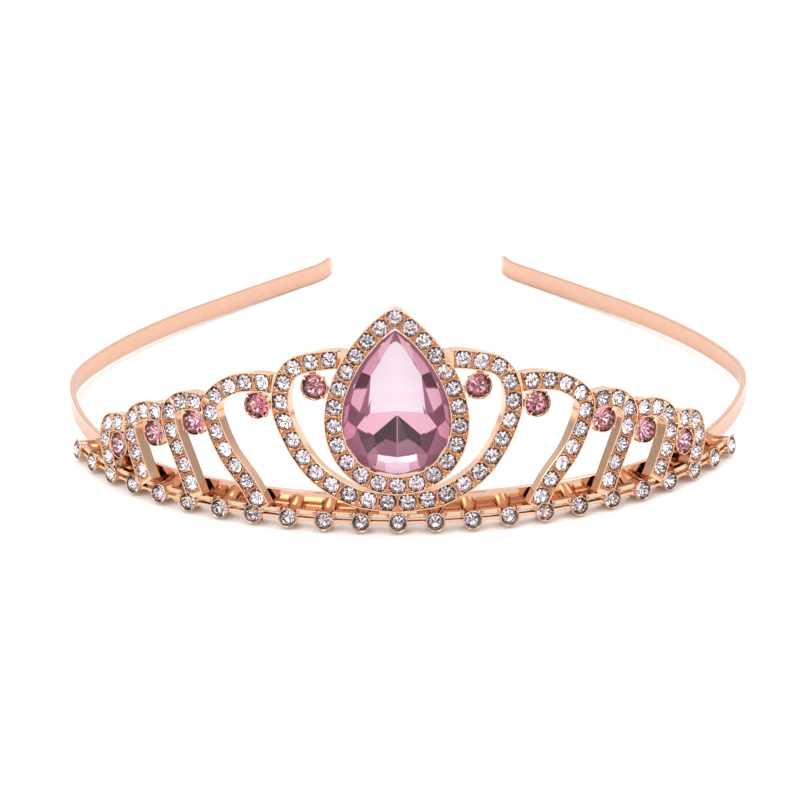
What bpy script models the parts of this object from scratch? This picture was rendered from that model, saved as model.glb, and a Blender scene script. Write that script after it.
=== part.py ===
"""A tiara: a cast ornament of stone-set arches soldered to an open headband.

The ornament stands on a wall that follows the headband's plan and leans a
little inwards. A point of that wall is given by how far it lies along the
headband (across, plus to the wearer's left), how far up the leaning wall
(up), and how far out from it (out).
"""

import math
from typing import NamedTuple

import bmesh
import bpy
import numpy as np
from mathutils import Matrix

# Headband
HALF_LENGTH = 0.1765        # along the wall's foot, from the middle of the front to one end
BAND_HEIGHT = 0.0034
BAND_THICKNESS = 0.0008
BAND_SETBACK = 0.0031       # from the stones' girdles back to the band's outer face
BAND_DROP = 0.0023          # how far its lower edge falls from the front to the ends
BAND_TIP_SHARE = 0.3        # height of the flat at its rounded ends, as a share of its own
FRONT_REACH = 0.06114       # from the origin forwards to the foot of the wall

# Ornament
LEAN = 9.0                  # degrees that the wall leans inwards
CREST = 0.0341              # height up the wall of the topmost stone's middle
STONE_RADIUS = 0.00132      # small clear stones
STONE_TABLE = 0.00072       # radius of their flat top
STONE_RISE = 0.00050        # height of their flat top over the girdle
RIDGE = 0.00055             # metal left between two neighbouring stones
ROW_MARGIN = 0.00028        # metal beside the stones of a row
ROW_DEPTH = 0.0020          # from the girdles back to the rear of a row
ROW_LIP = 0.00020           # height of a row's edges over the girdles
HALO_PROUD = 0.00012        # how far the halo stands out past the other rows
FLATNESS = math.radians(0.002)

# Rail of round collets along the foot
RAIL_PITCH = 0.00610
RAIL_PAIRS = 11             # collets on each side of the middle one
COLLET_RADIUS = 0.00162     # from its axis to its flats
COLLET_LIP = 0.00025
COLLET_SIDES = 8
RAIL_STONE_RADIUS = 0.00132
RAIL_STONE_SIDES = 8
RAIL_PAVILION = 0.75        # depth of its back, as a share of its radius
UPPER_BAR_HEIGHT = 0.0008
LOWER_BAR_HEIGHT = 0.0005
UPPER_BAR_LEVEL = 0.0011    # middle of the upper bar over the collets' middles
LOWER_BAR_LEVEL = -0.00005
BAR_DEPTH = 0.0013
BAR_SETBACK = 0.00015       # from the girdles back to the bars' faces
BAR_OVERHANG = 0.0010       # past the middle of the last collet

# Coloured side stones and their cups
SIDE_STONE_RADIUS = 0.0020
SIDE_STONE_RISE = 0.0007
SIDE_STONE_SIDES = 10
SIDE_PAVILION = 0.8         # depth of its back, as a share of its radius
CUP_WALL = 0.00018
CUP_LIP = 0.00040
CUP_DEPTH = 0.0022
CUP_TAPER = 0.8             # its rear radius, as a share of its front one
LUG_WIDTH = 0.0013
LUG_FRONT = 0.0006          # from the girdles back to a lug's face
LUG_REAR = 0.0013

# Cut of the round stones
TABLE_SHARE = 0.55          # radius of the flat top, as a share of the stone's
GIRDLE_SHARE = 0.08

# Pear-shaped stone
PEAR_LENGTH = 0.0240
PEAR_WIDTH = 0.0178
PEAR_FOOT = 0.0081          # height up the wall of its round end
PEAR_CROWN = 0.0020
PEAR_PAVILION = 0.0048
PEAR_POINT = 0.68           # the larger, the more drawn out its pointed end
PEAR_SIDES = 20
PEAR_FOCUS = -0.10          # middle of its facets under its own middle, as a share of its length
PEAR_CLAWS = 8
CLAW_REACH = 0.0025         # from the halo's middle line in under the pear
HALO_STONES = 24
HALO_POINT = 0.60
HALO_FOOT = 0.0063          # height up the wall of the halo's lowest stone
HALO_HALF_WIDTH = 0.0107

# Clearances
SEAT_GAP = 0.00012          # between a loose stone and its seat
BITE = 0.00025              # how deep soldered pieces run into each other

# Blocks under the arches and the fineness of the halo's line
FOOT_SHARE = 0.55           # width of a foot block, as a share of a row's
HALO_POINTS = 240           # an even number

ROW_HALF = STONE_RADIUS + ROW_MARGIN
STONE_PITCH = 2 * STONE_RADIUS + RIDGE
RAIL_HALF = RAIL_PITCH * RAIL_PAIRS
COLLET_DEPTH = BAND_SETBACK + BITE
RAIL_LEVEL = (COLLET_RADIUS * math.cos(math.radians(LEAN))
              + COLLET_DEPTH * math.sin(math.radians(LEAN)))


class Bend(NamedTuple):
    """One arc of the headband's plan, from the front to an end."""
    share: float            # of the half length
    turn: float             # degrees


BENDS = (
    Bend(0.192, 27.3),
    Bend(0.190, 36.4),
    Bend(0.127, 17.5),
    Bend(0.084, 29.0),
    Bend(0.085, 11.0),
    Bend(0.113, 10.5),
    Bend(0.172, 2.6),
    Bend(0.027, -42.0),
)


class PearRing(NamedTuple):
    """One ring of the pear's facets."""
    size: float             # share of the outline
    rise: float             # share of the crown's height, or of the pavilion's depth if minus


PEAR_RINGS = (
    PearRing(0.52, 1.00),
    PearRing(0.80, 0.62),
    PearRing(1.00, 0.00),
    PearRing(1.00, -0.05),
    PearRing(0.60, -0.62),
    PearRing(0.12, -1.00),
)


class Place(NamedTuple):
    """A point of the ornament, as shares of its half width and of its crest."""
    across: float
    up: float


class Arch(NamedTuple):
    """A row of stones that springs from the row before it and ends in a foot."""
    name: str
    stones: int
    spring: float           # where on the row before it, as a share of that row
    lead: float             # plain metal before its first stone, in stone pitches
    tail: float             # plain metal after its last stone, in stone pitches
    proud: float            # how far it stands out past the lyre
    course: tuple           # places that its middle line runs through


LYRE_STONES = 26
LYRE_LEAD = 0.00275         # from the halo's middle line to the lyre's first cell
LYRE = (
    Place(0.000, 0.098),
    Place(0.060, 0.109),
    Place(0.119, 0.135),
    Place(0.203, 0.234),
    Place(0.264, 0.384),
    Place(0.299, 0.560),
    Place(0.272, 0.730),
    Place(0.174, 0.789),
    Place(0.108, 0.786),
)

ARCHES = (
    Arch("second", 10, 0.672, 0.19, 0.10, -0.00006, (
        Place(0.353, 0.651),
        Place(0.430, 0.622),
        Place(0.487, 0.537),
        Place(0.490, 0.450),
        Place(0.446, 0.288),
        Place(0.382, 0.148),
        Place(0.341, 0.030))),
    Arch("third", 7, 0.454, 0.05, 0.32, 0.0, (
        Place(0.540, 0.502),
        Place(0.587, 0.487),
        Place(0.619, 0.425),
        Place(0.611, 0.340),
        Place(0.563, 0.176),
        Place(0.523, 0.030))),
    Arch("fourth", 6, 0.412, 0.05, 0.25, -0.00006, (
        Place(0.669, 0.402),
        Place(0.718, 0.378),
        Place(0.754, 0.317),
        Place(0.751, 0.237),
        Place(0.702, 0.085),
        Place(0.681, 0.030))),
    Arch("fifth", 4, 0.545, 0.14, 0.17, 0.0, (
        Place(0.806, 0.273),
        Place(0.852, 0.235),
        Place(0.857, 0.152),
        Place(0.836, 0.081),
        Place(0.820, 0.030))),
)


class Cup(NamedTuple):
    """A side stone's place, and the rows that its lugs run to."""
    across: float
    up: float
    rows: tuple


CUPS = (
    Cup(0.210, 0.654, ("halo", "lyre")),
    Cup(0.361, 0.537, ("lyre", "second")),
    Cup(0.540, 0.402, ("second", "third")),
    Cup(0.665, 0.293, ("third", "fourth")),
    Cup(0.793, 0.164, ("fourth", "fifth")),
)


class Finish(NamedTuple):
    """A plain material."""
    colour: tuple
    metallic: float
    roughness: float


ROSE_GOLD = Finish((0.80, 0.46, 0.31), 1.0, 0.15)
CLEAR_GLASS = Finish((0.80, 0.77, 0.80), 0.0, 0.05)
PINK_GLASS = Finish((0.62, 0.17, 0.27), 0.0, 0.05)
PALE_PINK_GLASS = Finish((0.86, 0.62, 0.74), 0.0, 0.05)


def wall_foot():
    """Samples of the wall's foot: distance, x, y and heading, from the front to an end."""
    knots = np.cumsum([0.0] + [bend.share for bend in BENDS]) * HALF_LENGTH
    turns = np.radians(np.cumsum([0.0] + [bend.turn for bend in BENDS]))
    distance = np.linspace(0.0, knots[-1], 700)
    heading = np.interp(distance, knots, turns)
    step = distance[1] - distance[0]
    middle = (heading[1:] + heading[:-1]) / 2
    x = np.concatenate([[0.0], np.cumsum(np.cos(middle))]) * step
    y = np.concatenate([[0.0], np.cumsum(np.sin(middle))]) * step - FRONT_REACH
    return distance, x, y, heading


FOOT = wall_foot()


def foot_frame(across):
    """The wall's foot at signed distances from the front: x, y and heading."""
    distance, x, y, heading = FOOT
    reach = np.abs(across)
    side = np.sign(across)
    return (side * np.interp(reach, distance, x),
            np.interp(reach, distance, y),
            side * np.interp(reach, distance, heading))


def on_wall(points):
    """World positions of an array of (across, up, out) points."""
    across, up, out = np.moveaxis(np.asarray(points, dtype=float), -1, 0)
    x, y, heading = foot_frame(across)
    lean = math.radians(LEAN)
    outwards = out * math.cos(lean) - up * math.sin(lean)
    return np.stack([
        x + outwards * np.sin(heading),
        y - outwards * np.cos(heading),
        RAIL_LEVEL + up * math.cos(lean) + out * math.sin(lean)], axis=-1)


def wall_matrix(across, up, out):
    """A frame on the wall: X along it, Y up it and Z out of it."""
    heading = float(foot_frame(np.array([across]))[2][0])
    lean = math.radians(LEAN)
    place = on_wall([[across, up, out]])[0]
    turn = Matrix.Rotation(heading, 4, "Z") @ Matrix.Rotation(math.radians(90) - lean, 4, "X")
    return Matrix.Translation(place.tolist()) @ turn


def in_ornament(place):
    """A Place in metres across and up."""
    return np.array([place.across * RAIL_HALF, place.up * CREST])


def smooth_course(points, per_span=12):
    """A Catmull-Rom curve through points, as an array of (across, up)."""
    points = np.asarray(points)
    ends = np.vstack([2 * points[0] - points[1], points, 2 * points[-1] - points[-2]])
    share = np.linspace(0.0, 1.0, per_span, endpoint=False)[:, None]
    spans = []
    for first, start, end, last in zip(ends, ends[1:], ends[2:], ends[3:]):
        bend = 2 * first - 5 * start + 4 * end - last
        twist = 3 * start - first - 3 * end + last
        spans.append(start + 0.5 * share * (end - first + share * (bend + share * twist)))
    return np.vstack(spans + [points[-1:]])


class Course:
    """A middle line on the wall that is read by distance along it."""

    def __init__(self, points):
        self.points = np.asarray(points)
        steps = np.linalg.norm(np.diff(self.points, axis=0), axis=1)
        self.reach = np.concatenate([[0.0], np.cumsum(steps)])
        self.length = self.reach[-1]

    def at(self, distance):
        """The point at a distance from the start."""
        return np.array([np.interp(distance, self.reach, self.points[:, i]) for i in (0, 1)])

    def across_at(self, distance, spread=0.0004):
        """The unit vector to the left of the way that the line runs."""
        start = self.at(max(distance - spread, 0.0))
        end = self.at(min(distance + spread, self.length))
        along = (end - start) / np.linalg.norm(end - start)
        return np.array([-along[1], along[0]])

    def nearest(self, point):
        """The sampled point of the line that lies nearest to a point."""
        return self.points[np.argmin(np.linalg.norm(self.points - point, axis=1))]


def teardrop(width, length, foot, point, count):
    """Points of a pear outline, from its tip round to its tip, in (across, up)."""
    angle = np.linspace(0.0, 2 * math.pi, count + 1)[:-1]
    spread = np.sin(angle) * np.abs(np.sin(angle / 2)) ** point
    fine = np.linspace(0.0, math.pi, 721)
    widest = (np.sin(fine) * np.sin(fine / 2) ** point).max()
    across = spread / widest * width / 2
    return np.stack([across, foot + length * (1 + np.cos(angle)) / 2], axis=-1)


def flip(points):
    """The same points on the other side of the middle."""
    return np.asarray(points) * np.array([-1.0] + [1.0] * (np.shape(points)[-1] - 1))


def make_material(name, finish):
    """A Principled material of one finish."""
    material = bpy.data.materials.new(name)
    material.use_nodes = True
    shader = material.node_tree.nodes["Principled BSDF"]
    shader.inputs["Base Color"].default_value = (*finish.colour, 1.0)
    shader.inputs["Metallic"].default_value = finish.metallic
    shader.inputs["Roughness"].default_value = finish.roughness
    return material


def mesh_from(name, points, faces):
    """A mesh of flat faces turned outwards, from points in metres."""
    mesh = bpy.data.meshes.new(name)
    mesh.from_pydata(np.asarray(points).tolist(), [], faces)
    shape = bmesh.new()
    shape.from_mesh(mesh)
    bmesh.ops.recalc_face_normals(shape, faces=shape.faces)
    bmesh.ops.connect_verts_nonplanar(shape, faces=shape.faces, angle_limit=FLATNESS)
    shape.to_mesh(mesh)
    shape.free()
    return mesh


def add_object(name, mesh, collection, matrix=None):
    """An object of a mesh in a collection."""
    piece = bpy.data.objects.new(name, mesh)
    collection.objects.link(piece)
    if matrix is not None:
        piece.matrix_world = matrix
    return piece


def add_hidden(name, mesh, collection, matrix=None):
    """An object that only a Boolean reads."""
    piece = add_object(name, mesh, collection, matrix)
    piece.hide_render = True
    piece.display_type = "WIRE"
    return piece


def loft(sections):
    """Points and faces of a closed solid through sections of equal size."""
    sections = np.asarray(sections, dtype=float)
    count, size = sections.shape[:2]
    faces = [list(range(size)), list(range((count - 1) * size, count * size))]
    for row in range(count - 1):
        for i in range(size):
            j = (i + 1) % size
            faces.append([row * size + i, row * size + j,
                          (row + 1) * size + j, (row + 1) * size + i])
    return sections.reshape(-1, 3), faces


def box_section(across, up_low, up_high, out_back, out_front):
    """A rectangle standing across the wall's length."""
    return [[across, up_low, out_back], [across, up_high, out_back],
            [across, up_high, out_front], [across, up_low, out_front]]


def strip_section(middle, left, half, out_back, out_front):
    """A rectangle standing across a middle line on the wall."""
    low = middle - half * left
    high = middle + half * left
    return [[*low, out_back], [*high, out_back], [*high, out_front], [*low, out_front]]


def tube_mesh(name, front_radius, rear_radius, front, rear, sides):
    """A solid straight or tapered tube with flat sides, its axis along Z."""
    corner = 1 / math.cos(math.pi / sides)
    shape = bmesh.new()
    bmesh.ops.create_cone(shape, cap_ends=True, segments=sides, radius1=corner * rear_radius,
                          radius2=corner * front_radius, depth=front - rear)
    place = Matrix.Translation((0.0, 0.0, (front + rear) / 2))
    turn = Matrix.Rotation(math.radians(90), 4, "Z")
    bmesh.ops.transform(shape, matrix=place @ turn, verts=shape.verts)
    mesh = bpy.data.meshes.new(name)
    shape.to_mesh(mesh)
    shape.free()
    return mesh


def turned_mesh(name, profile):
    """The half section of a turned piece, as (radius, height) from its axis down its outer side."""
    mesh = bpy.data.meshes.new(name)
    edges = [(i, i + 1) for i in range(len(profile) - 1)]
    mesh.from_pydata([(radius, 0.0, height) for radius, height in profile], edges, [])
    return mesh


def turn_round(piece, sides):
    """Turn a half section about its Z axis."""
    screw = piece.modifiers.new("turn", "SCREW")
    screw.axis = "Z"
    screw.angle = 2 * math.pi
    screw.steps = sides
    screw.render_steps = sides
    screw.use_smooth_shade = False
    screw.use_merge_vertices = True
    screw.merge_threshold = 0.00001


def stone_profile(radius, crown, pavilion):
    """A round cut stone: flat top, sloping crown, thin girdle and pointed back."""
    girdle = GIRDLE_SHARE * radius
    return [(0.0, crown), (TABLE_SHARE * radius, crown), (radius, girdle / 2),
            (radius, -girdle / 2), (0.0, -pavilion)]


def seat_profile(radius, pavilion, reach):
    """What is cut from the metal so that a round stone sits in it with a gap."""
    slope = pavilion / radius
    lowest = pavilion + SEAT_GAP * math.sqrt(1 + slope * slope)
    bore = radius + SEAT_GAP
    ledge = slope * bore - lowest
    return [(0.0, reach), (bore, reach), (bore, ledge), (0.0, -lowest)]


def octagon(centre, left, radius, out):
    """Eight points round a stone, the first towards the end of its row."""
    along = np.array([left[1], -left[0]])
    angles = np.radians(np.arange(8) * 45.0)
    flat = centre + radius * (np.cos(angles)[:, None] * along + np.sin(angles)[:, None] * left)
    return np.column_stack([flat, np.full(8, out)])


def stone_row(course, start, end, count, lead, tail, proud=0.0):
    """A row of stones fused to their channel, with plain metal before and after it.

    Each stone has a cell: flat top, eight crown facets, eight faces of metal
    up to the cell's edge, and the channel's sides and back.
    """
    points, faces = [], []

    def add(array):
        """Keep points and return their numbers."""
        first = sum(len(part) for part in points)
        points.append(np.atleast_2d(array))
        return list(range(first, first + len(points[-1])))

    def cross_line(distance):
        """Left, middle and right of the front, then right and left of the back."""
        middle, left = course.at(distance), course.across_at(distance)
        ends = [middle + ROW_HALF * left, middle, middle - ROW_HALF * left]
        front = [[*point, ROW_LIP] for point in ends]
        back = [[*ends[2], -ROW_DEPTH], [*ends[0], -ROW_DEPTH]]
        return add(np.array(front + back))

    closed = lead is None
    bounds = np.linspace(start, end, count + 1)
    lines = [cross_line(bound % course.length if closed else bound)
             for bound in (bounds[:-1] if closed else bounds)]
    if closed:
        lines.append(lines[0])
    for near, far, first, last in zip(lines, lines[1:], bounds, bounds[1:]):
        middle = (first + last) / 2
        centre, left = course.at(middle), course.across_at(middle)
        sides = add(np.array([[*(centre + ROW_HALF * left), ROW_LIP],
                              [*(centre - ROW_HALF * left), ROW_LIP]]))
        rim = [far[1], far[0], sides[0], near[0], near[1], near[2], sides[1], far[2]]
        girdle = add(octagon(centre, left, STONE_RADIUS, 0.0))
        table = add(octagon(centre, left, STONE_TABLE, STONE_RISE))
        for i in range(8):
            j = (i + 1) % 8
            faces.append([rim[i], rim[j], girdle[j], girdle[i]])
            faces.append([girdle[i], girdle[j], table[j], table[i]])
        faces.append(table)
        faces.append([near[0], sides[0], near[4]])
        faces.append([sides[0], far[0], far[4]])
        faces.append([sides[0], far[4], near[4]])
        faces.append([near[2], near[3], sides[1]])
        faces.append([sides[1], far[3], far[2]])
        faces.append([sides[1], near[3], far[3]])
        faces.append([near[3], near[4], far[4], far[3]])
    if closed:
        return np.vstack(points) + [0.0, 0.0, proud], faces

    for line, sections in ((lines[0], lead), (lines[-1], tail)):
        for section in sections:
            ring = add(np.array(section))
            for i in range(5):
                j = (i + 1) % 5
                faces.append([line[i], line[j], ring[j], ring[i]])
            line = ring
        faces.append(line)
    return np.vstack(points) + [0.0, 0.0, proud], faces


def plain_section(course, distance, front, back):
    """A section of plain metal on a row's middle line, as its cross lines are."""
    middle, left = course.at(distance), course.across_at(distance)
    ends = [middle + ROW_HALF * left, middle, middle - ROW_HALF * left]
    return ([[*point, front] for point in ends]
            + [[*ends[2], back], [*ends[0], back]])


def halo_course():
    """The halo's middle line, from its lowest stone round to it."""
    outline = teardrop(2 * HALO_HALF_WIDTH, CREST - HALO_FOOT, HALO_FOOT, HALO_POINT,
                       HALO_POINTS)
    order = np.roll(outline, HALO_POINTS // 2, axis=0)
    return Course(np.vstack([order, order[:1]]))


def lyre_course():
    """The lyre's middle line, from one upper end down round to the other."""
    right = smooth_course([in_ornament(place) for place in LYRE])
    return Course(np.vstack([flip(right[::-1]), right[1:]]))


def arch_courses(lyre):
    """The middle line of each arch on the right, by name."""
    half = Course(lyre.points[len(lyre.points) // 2:])
    before = half
    courses = {}
    for arch in ARCHES:
        spring = before.at(arch.spring * before.length)
        places = [spring] + [in_ornament(place) for place in arch.course]
        before = Course(smooth_course(places))
        courses[arch.name] = before
    return courses


def halo_solid(course):
    """The ring of stones round the pear, with one stone at the top and one at the foot."""
    pitch = course.length / HALO_STONES
    return stone_row(course, pitch / 2, course.length + pitch / 2, HALO_STONES, None, None,
                     HALO_PROUD)


def inner_end(course, cell, end):
    """Plain metal from a row's outermost cell line into the row that it meets."""
    near = cell + BITE * math.copysign(1.0, end - cell)
    return [plain_section(course, place, -BITE, BITE - ROW_DEPTH) for place in (near, end)]


def lyre_solid(course):
    """The open lyre under the pear, whose upper ends run into the halo."""
    far = course.length
    return stone_row(course, LYRE_LEAD, far - LYRE_LEAD, LYRE_STONES,
                     inner_end(course, LYRE_LEAD, 0.0), inner_end(course, far - LYRE_LEAD, far))


def arch_solid(course, arch):
    """One arch, from the side of the row before it to its foot on the rail."""
    inlet = ROW_HALF + arch.lead * STONE_PITCH
    outlet = course.length - arch.tail * STONE_PITCH
    tail = [plain_section(course, course.length, ROW_LIP, -ROW_DEPTH)]
    return stone_row(course, inlet, outlet, arch.stones, inner_end(course, inlet, 0.0), tail,
                     arch.proud)


def mirrored(solid):
    """A solid on the other side of the middle."""
    points, faces = solid
    return flip(points), faces


def foot_block(course):
    """The solid block that joins an arch's foot, the rail and the headband."""
    across = course.points[-1][0]
    half = ROW_HALF * FOOT_SHARE
    low = UPPER_BAR_LEVEL - UPPER_BAR_HEIGHT / 2 + BITE
    high = UPPER_BAR_LEVEL + UPPER_BAR_HEIGHT / 2 + BITE
    back = -BAND_SETBACK - BITE
    return loft([box_section(across - half, low, high, back, -BAR_SETBACK - BITE),
                 box_section(across + half, low, high, back, -BAR_SETBACK - BITE)])


def lyre_block():
    """The block that joins the lyre's lowest point to the rail and the headband."""
    half = STONE_PITCH
    low = UPPER_BAR_LEVEL
    high = LYRE[0].up * CREST
    back = -BAND_SETBACK - BITE
    return loft([box_section(-half, low, high, back, -BITE),
                 box_section(half, low, high, back, -BITE)])


def bar_solid(level, height):
    """A bar of the rail, which follows the wall's foot from end to end."""
    reach = RAIL_HALF + BAR_OVERHANG
    joints = (np.arange(-RAIL_PAIRS, RAIL_PAIRS) + 0.5) * RAIL_PITCH
    places = np.concatenate([[-reach], joints, [reach]])
    return loft([box_section(place, level - height / 2, level + height / 2,
                             -BAR_SETBACK - BAR_DEPTH, -BAR_SETBACK) for place in places])


def lug_solid(start, end):
    """A short bar between two points, behind the stones' girdles."""
    way = (end - start) / np.linalg.norm(end - start)
    left = np.array([-way[1], way[0]])
    return loft([strip_section(point, left, LUG_WIDTH / 2, -LUG_REAR, -LUG_FRONT)
                 for point in (start, end)])


def cup_lug(cup, course):
    """A lug from under a cup into the middle of the nearest row."""
    middle = in_ornament(cup)
    return lug_solid(middle, course.nearest(middle))


def claw_solid(halo, number):
    """A claw from the halo in under the pear, cut later to the pear's back."""
    place = (number + 0.5) / PEAR_CLAWS * halo.length
    start = halo.at(place)
    return lug_solid(start, start - CLAW_REACH * halo.across_at(place))


def pear_mesh(name, grow, crown, pavilion):
    """A cut pear: flat top, two rows of crown facets, girdle, pavilion and keel.

    Each ring is the outline drawn in towards a point under its round end.
    """
    outline = teardrop(PEAR_WIDTH, PEAR_LENGTH, -PEAR_LENGTH / 2, PEAR_POINT, PEAR_SIDES)
    focus = np.array([0.0, PEAR_FOCUS * PEAR_LENGTH])
    arm = outline - focus
    away = arm / np.linalg.norm(arm, axis=1)[:, None]
    points = []
    for ring in PEAR_RINGS:
        out = ring.rise * (crown if ring.rise > 0 else pavilion)
        flat = focus + ring.size * arm + grow * away
        points.append(np.column_stack([flat, np.full(len(arm), out)]))
    return mesh_from(name, *loft(points))


def band_mesh():
    """The headband: a flat strip on the wall's foot, with rounded ends."""
    reach = FOOT[0][-1]
    radius = BAND_HEIGHT / 2
    rounding = reach - radius * (1 - np.cos(np.radians([90.0, 60.0, 30.0])))
    straight = np.arange(RAIL_PITCH / 2, reach - radius, RAIL_PITCH)
    side = np.concatenate([straight, np.sort(rounding)])
    places = np.unique(np.round(np.concatenate([-side, side]), 7))
    x, y, heading = foot_frame(places)
    end_y = foot_frame(np.array([reach]))[1][0]
    lift = BAND_DROP * (end_y - y) / (end_y + FRONT_REACH)
    left = np.clip(reach - np.abs(places), 0.0, radius)
    half = np.sqrt(np.clip(radius ** 2 - (radius - left) ** 2, (BAND_TIP_SHARE * radius) ** 2, None))
    sections = []
    for out in (-BAND_SETBACK, -BAND_SETBACK - BAND_THICKNESS):
        base = np.stack([x + out * np.sin(heading), y - out * np.cos(heading)], axis=-1)
        for sign in (-1.0, 1.0):
            sections.append(np.column_stack([base, lift + radius + sign * half]))
    rings = np.stack([sections[0], sections[1], sections[3], sections[2]], axis=1)
    return mesh_from("band", *loft(rings))


def build():
    """Build the tiara."""
    for piece in list(bpy.data.objects):
        bpy.data.objects.remove(piece, do_unlink=True)
    scene = bpy.context.scene
    tiara = bpy.data.collections.new("tiara")
    solder = bpy.data.collections.new("soldered_pieces")
    seats = bpy.data.collections.new("stone_seats")
    for collection in (tiara, solder, seats):
        scene.collection.children.link(collection)

    metal = make_material("rose_gold", ROSE_GOLD)
    clear = make_material("clear_glass", CLEAR_GLASS)
    pink = make_material("pink_glass", PINK_GLASS)
    pale = make_material("pale_pink_glass", PALE_PINK_GLASS)

    halo, lyre = halo_course(), lyre_course()
    arches = arch_courses(lyre)
    rows = {"halo": halo, "lyre": lyre, **arches}

    solids = {"halo": halo_solid(halo), "lyre": lyre_solid(lyre), "lyre_block": lyre_block(),
              "upper_bar": bar_solid(UPPER_BAR_LEVEL, UPPER_BAR_HEIGHT),
              "lower_bar": bar_solid(LOWER_BAR_LEVEL, LOWER_BAR_HEIGHT)}
    for arch in ARCHES:
        course = arches[arch.name]
        for name, solid in ((arch.name + "_arch", arch_solid(course, arch)),
                            (arch.name + "_foot", foot_block(course))):
            solids[name + "_left"] = solid
            solids[name + "_right"] = mirrored(solid)
    for number in range(PEAR_CLAWS):
        solids[f"claw_{number}"] = claw_solid(halo, number)
    for number, cup in enumerate(CUPS, start=1):
        for row in cup.rows:
            solid = cup_lug(cup, rows[row])
            solids[f"lug_{number}_{row}_left"] = solid
            solids[f"lug_{number}_{row}_right"] = mirrored(solid)
    for name, (points, faces) in solids.items():
        add_hidden(name, mesh_from(name, on_wall(points), faces), solder)

    collet = tube_mesh("collet", COLLET_RADIUS, COLLET_RADIUS, COLLET_LIP, -COLLET_DEPTH,
                       COLLET_SIDES)
    flat_down = Matrix.Rotation(math.pi / COLLET_SIDES, 4, "Z")
    rail_pavilion = RAIL_PAVILION * RAIL_STONE_RADIUS
    rail_stone = turned_mesh("rail_stone", stone_profile(
        RAIL_STONE_RADIUS, STONE_RISE, rail_pavilion))
    rail_seat = turned_mesh("rail_seat", seat_profile(
        RAIL_STONE_RADIUS, rail_pavilion, 2 * COLLET_LIP + STONE_RISE))
    stones = []
    for number in range(-RAIL_PAIRS, RAIL_PAIRS + 1):
        matrix = wall_matrix(number * RAIL_PITCH, 0.0, 0.0) @ flat_down
        add_hidden(f"collet_{number}", collet, solder, matrix)
        turn_round(add_hidden(f"rail_seat_{number}", rail_seat, seats, matrix), RAIL_STONE_SIDES)
        stone = add_object(f"rail_stone_{number + RAIL_PAIRS:02d}", rail_stone, tiara, matrix)
        turn_round(stone, RAIL_STONE_SIDES)
        stones.append((stone, clear))

    cup_radius = SIDE_STONE_RADIUS + SEAT_GAP + CUP_WALL
    cup_mesh = tube_mesh("cup", cup_radius, cup_radius * CUP_TAPER, CUP_LIP, -CUP_DEPTH,
                         SIDE_STONE_SIDES)
    side_pavilion = SIDE_PAVILION * SIDE_STONE_RADIUS
    side_stone = turned_mesh("side_stone", stone_profile(
        SIDE_STONE_RADIUS, SIDE_STONE_RISE, side_pavilion))
    side_seat = turned_mesh("side_seat", seat_profile(
        SIDE_STONE_RADIUS, side_pavilion, 2 * CUP_LIP + SIDE_STONE_RISE))
    for number, cup in enumerate(CUPS, start=1):
        for side, sign in (("left", 1), ("right", -1)):
            matrix = wall_matrix(sign * cup.across * RAIL_HALF, cup.up * CREST, 0.0)
            add_hidden(f"cup_{side}_{number}", cup_mesh, solder, matrix)
            turn_round(add_hidden(f"side_seat_{side}_{number}", side_seat, seats, matrix),
                       SIDE_STONE_SIDES)
            stone = add_object(f"side_stone_{side}_{number}", side_stone, tiara, matrix)
            turn_round(stone, SIDE_STONE_SIDES)
            stones.append((stone, pink))

    pear_place = wall_matrix(0.0, PEAR_FOOT + PEAR_LENGTH / 2, 0.0)
    pear = add_object("pear_stone", pear_mesh("pear_stone", 0.0, PEAR_CROWN, PEAR_PAVILION),
                      tiara, pear_place)
    stones.append((pear, pale))
    seat = pear_mesh("pear_seat", SEAT_GAP, PEAR_CROWN + SEAT_GAP, PEAR_PAVILION + 2 * SEAT_GAP)
    add_hidden("pear_seat", seat, seats, pear_place)

    frame = add_object("tiara_frame", band_mesh(), tiara)
    frame.data.materials.append(metal)
    for name, operation, operands in (("solder", "UNION", solder), ("seat", "DIFFERENCE", seats)):
        cut = frame.modifiers.new(name, "BOOLEAN")
        cut.operation = operation
        cut.operand_type = "COLLECTION"
        cut.collection = operands
        cut.solver = "EXACT"

    for stone, material in stones:
        if not stone.data.materials:
            stone.data.materials.append(material)


build()
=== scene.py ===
"""Dress a rose-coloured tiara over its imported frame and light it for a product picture.

The ornament stands on a wall that follows the headband's plan and leans a little inwards. A
point of that wall is given by how far it lies along the headband (across), how far up the
wall (up) and how far out from it (out), in metres. Every piece is worked out in those terms
as arrays and then laid on the wall, so that it sits on the frame's own solids.
"""

import logging
import math
from dataclasses import dataclass, field
from enum import Enum
from functools import cached_property
from typing import Dict, List, Optional, Sequence, Tuple

import bmesh
import bpy
import numpy as np
from mathutils import Matrix, Vector
from mathutils.geometry import delaunay_2d_cdt


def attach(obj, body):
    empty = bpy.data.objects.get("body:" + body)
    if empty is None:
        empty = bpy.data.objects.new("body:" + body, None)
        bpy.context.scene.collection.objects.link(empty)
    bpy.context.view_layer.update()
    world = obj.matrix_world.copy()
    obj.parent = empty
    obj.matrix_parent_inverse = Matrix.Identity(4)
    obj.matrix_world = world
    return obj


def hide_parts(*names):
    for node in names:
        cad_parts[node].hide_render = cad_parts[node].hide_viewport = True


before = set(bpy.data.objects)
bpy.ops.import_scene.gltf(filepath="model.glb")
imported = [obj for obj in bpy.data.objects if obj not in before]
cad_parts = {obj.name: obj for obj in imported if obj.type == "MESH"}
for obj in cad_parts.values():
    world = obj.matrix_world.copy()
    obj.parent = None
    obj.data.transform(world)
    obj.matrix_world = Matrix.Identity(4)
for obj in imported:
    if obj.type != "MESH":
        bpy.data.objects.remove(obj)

Array = np.ndarray
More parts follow.
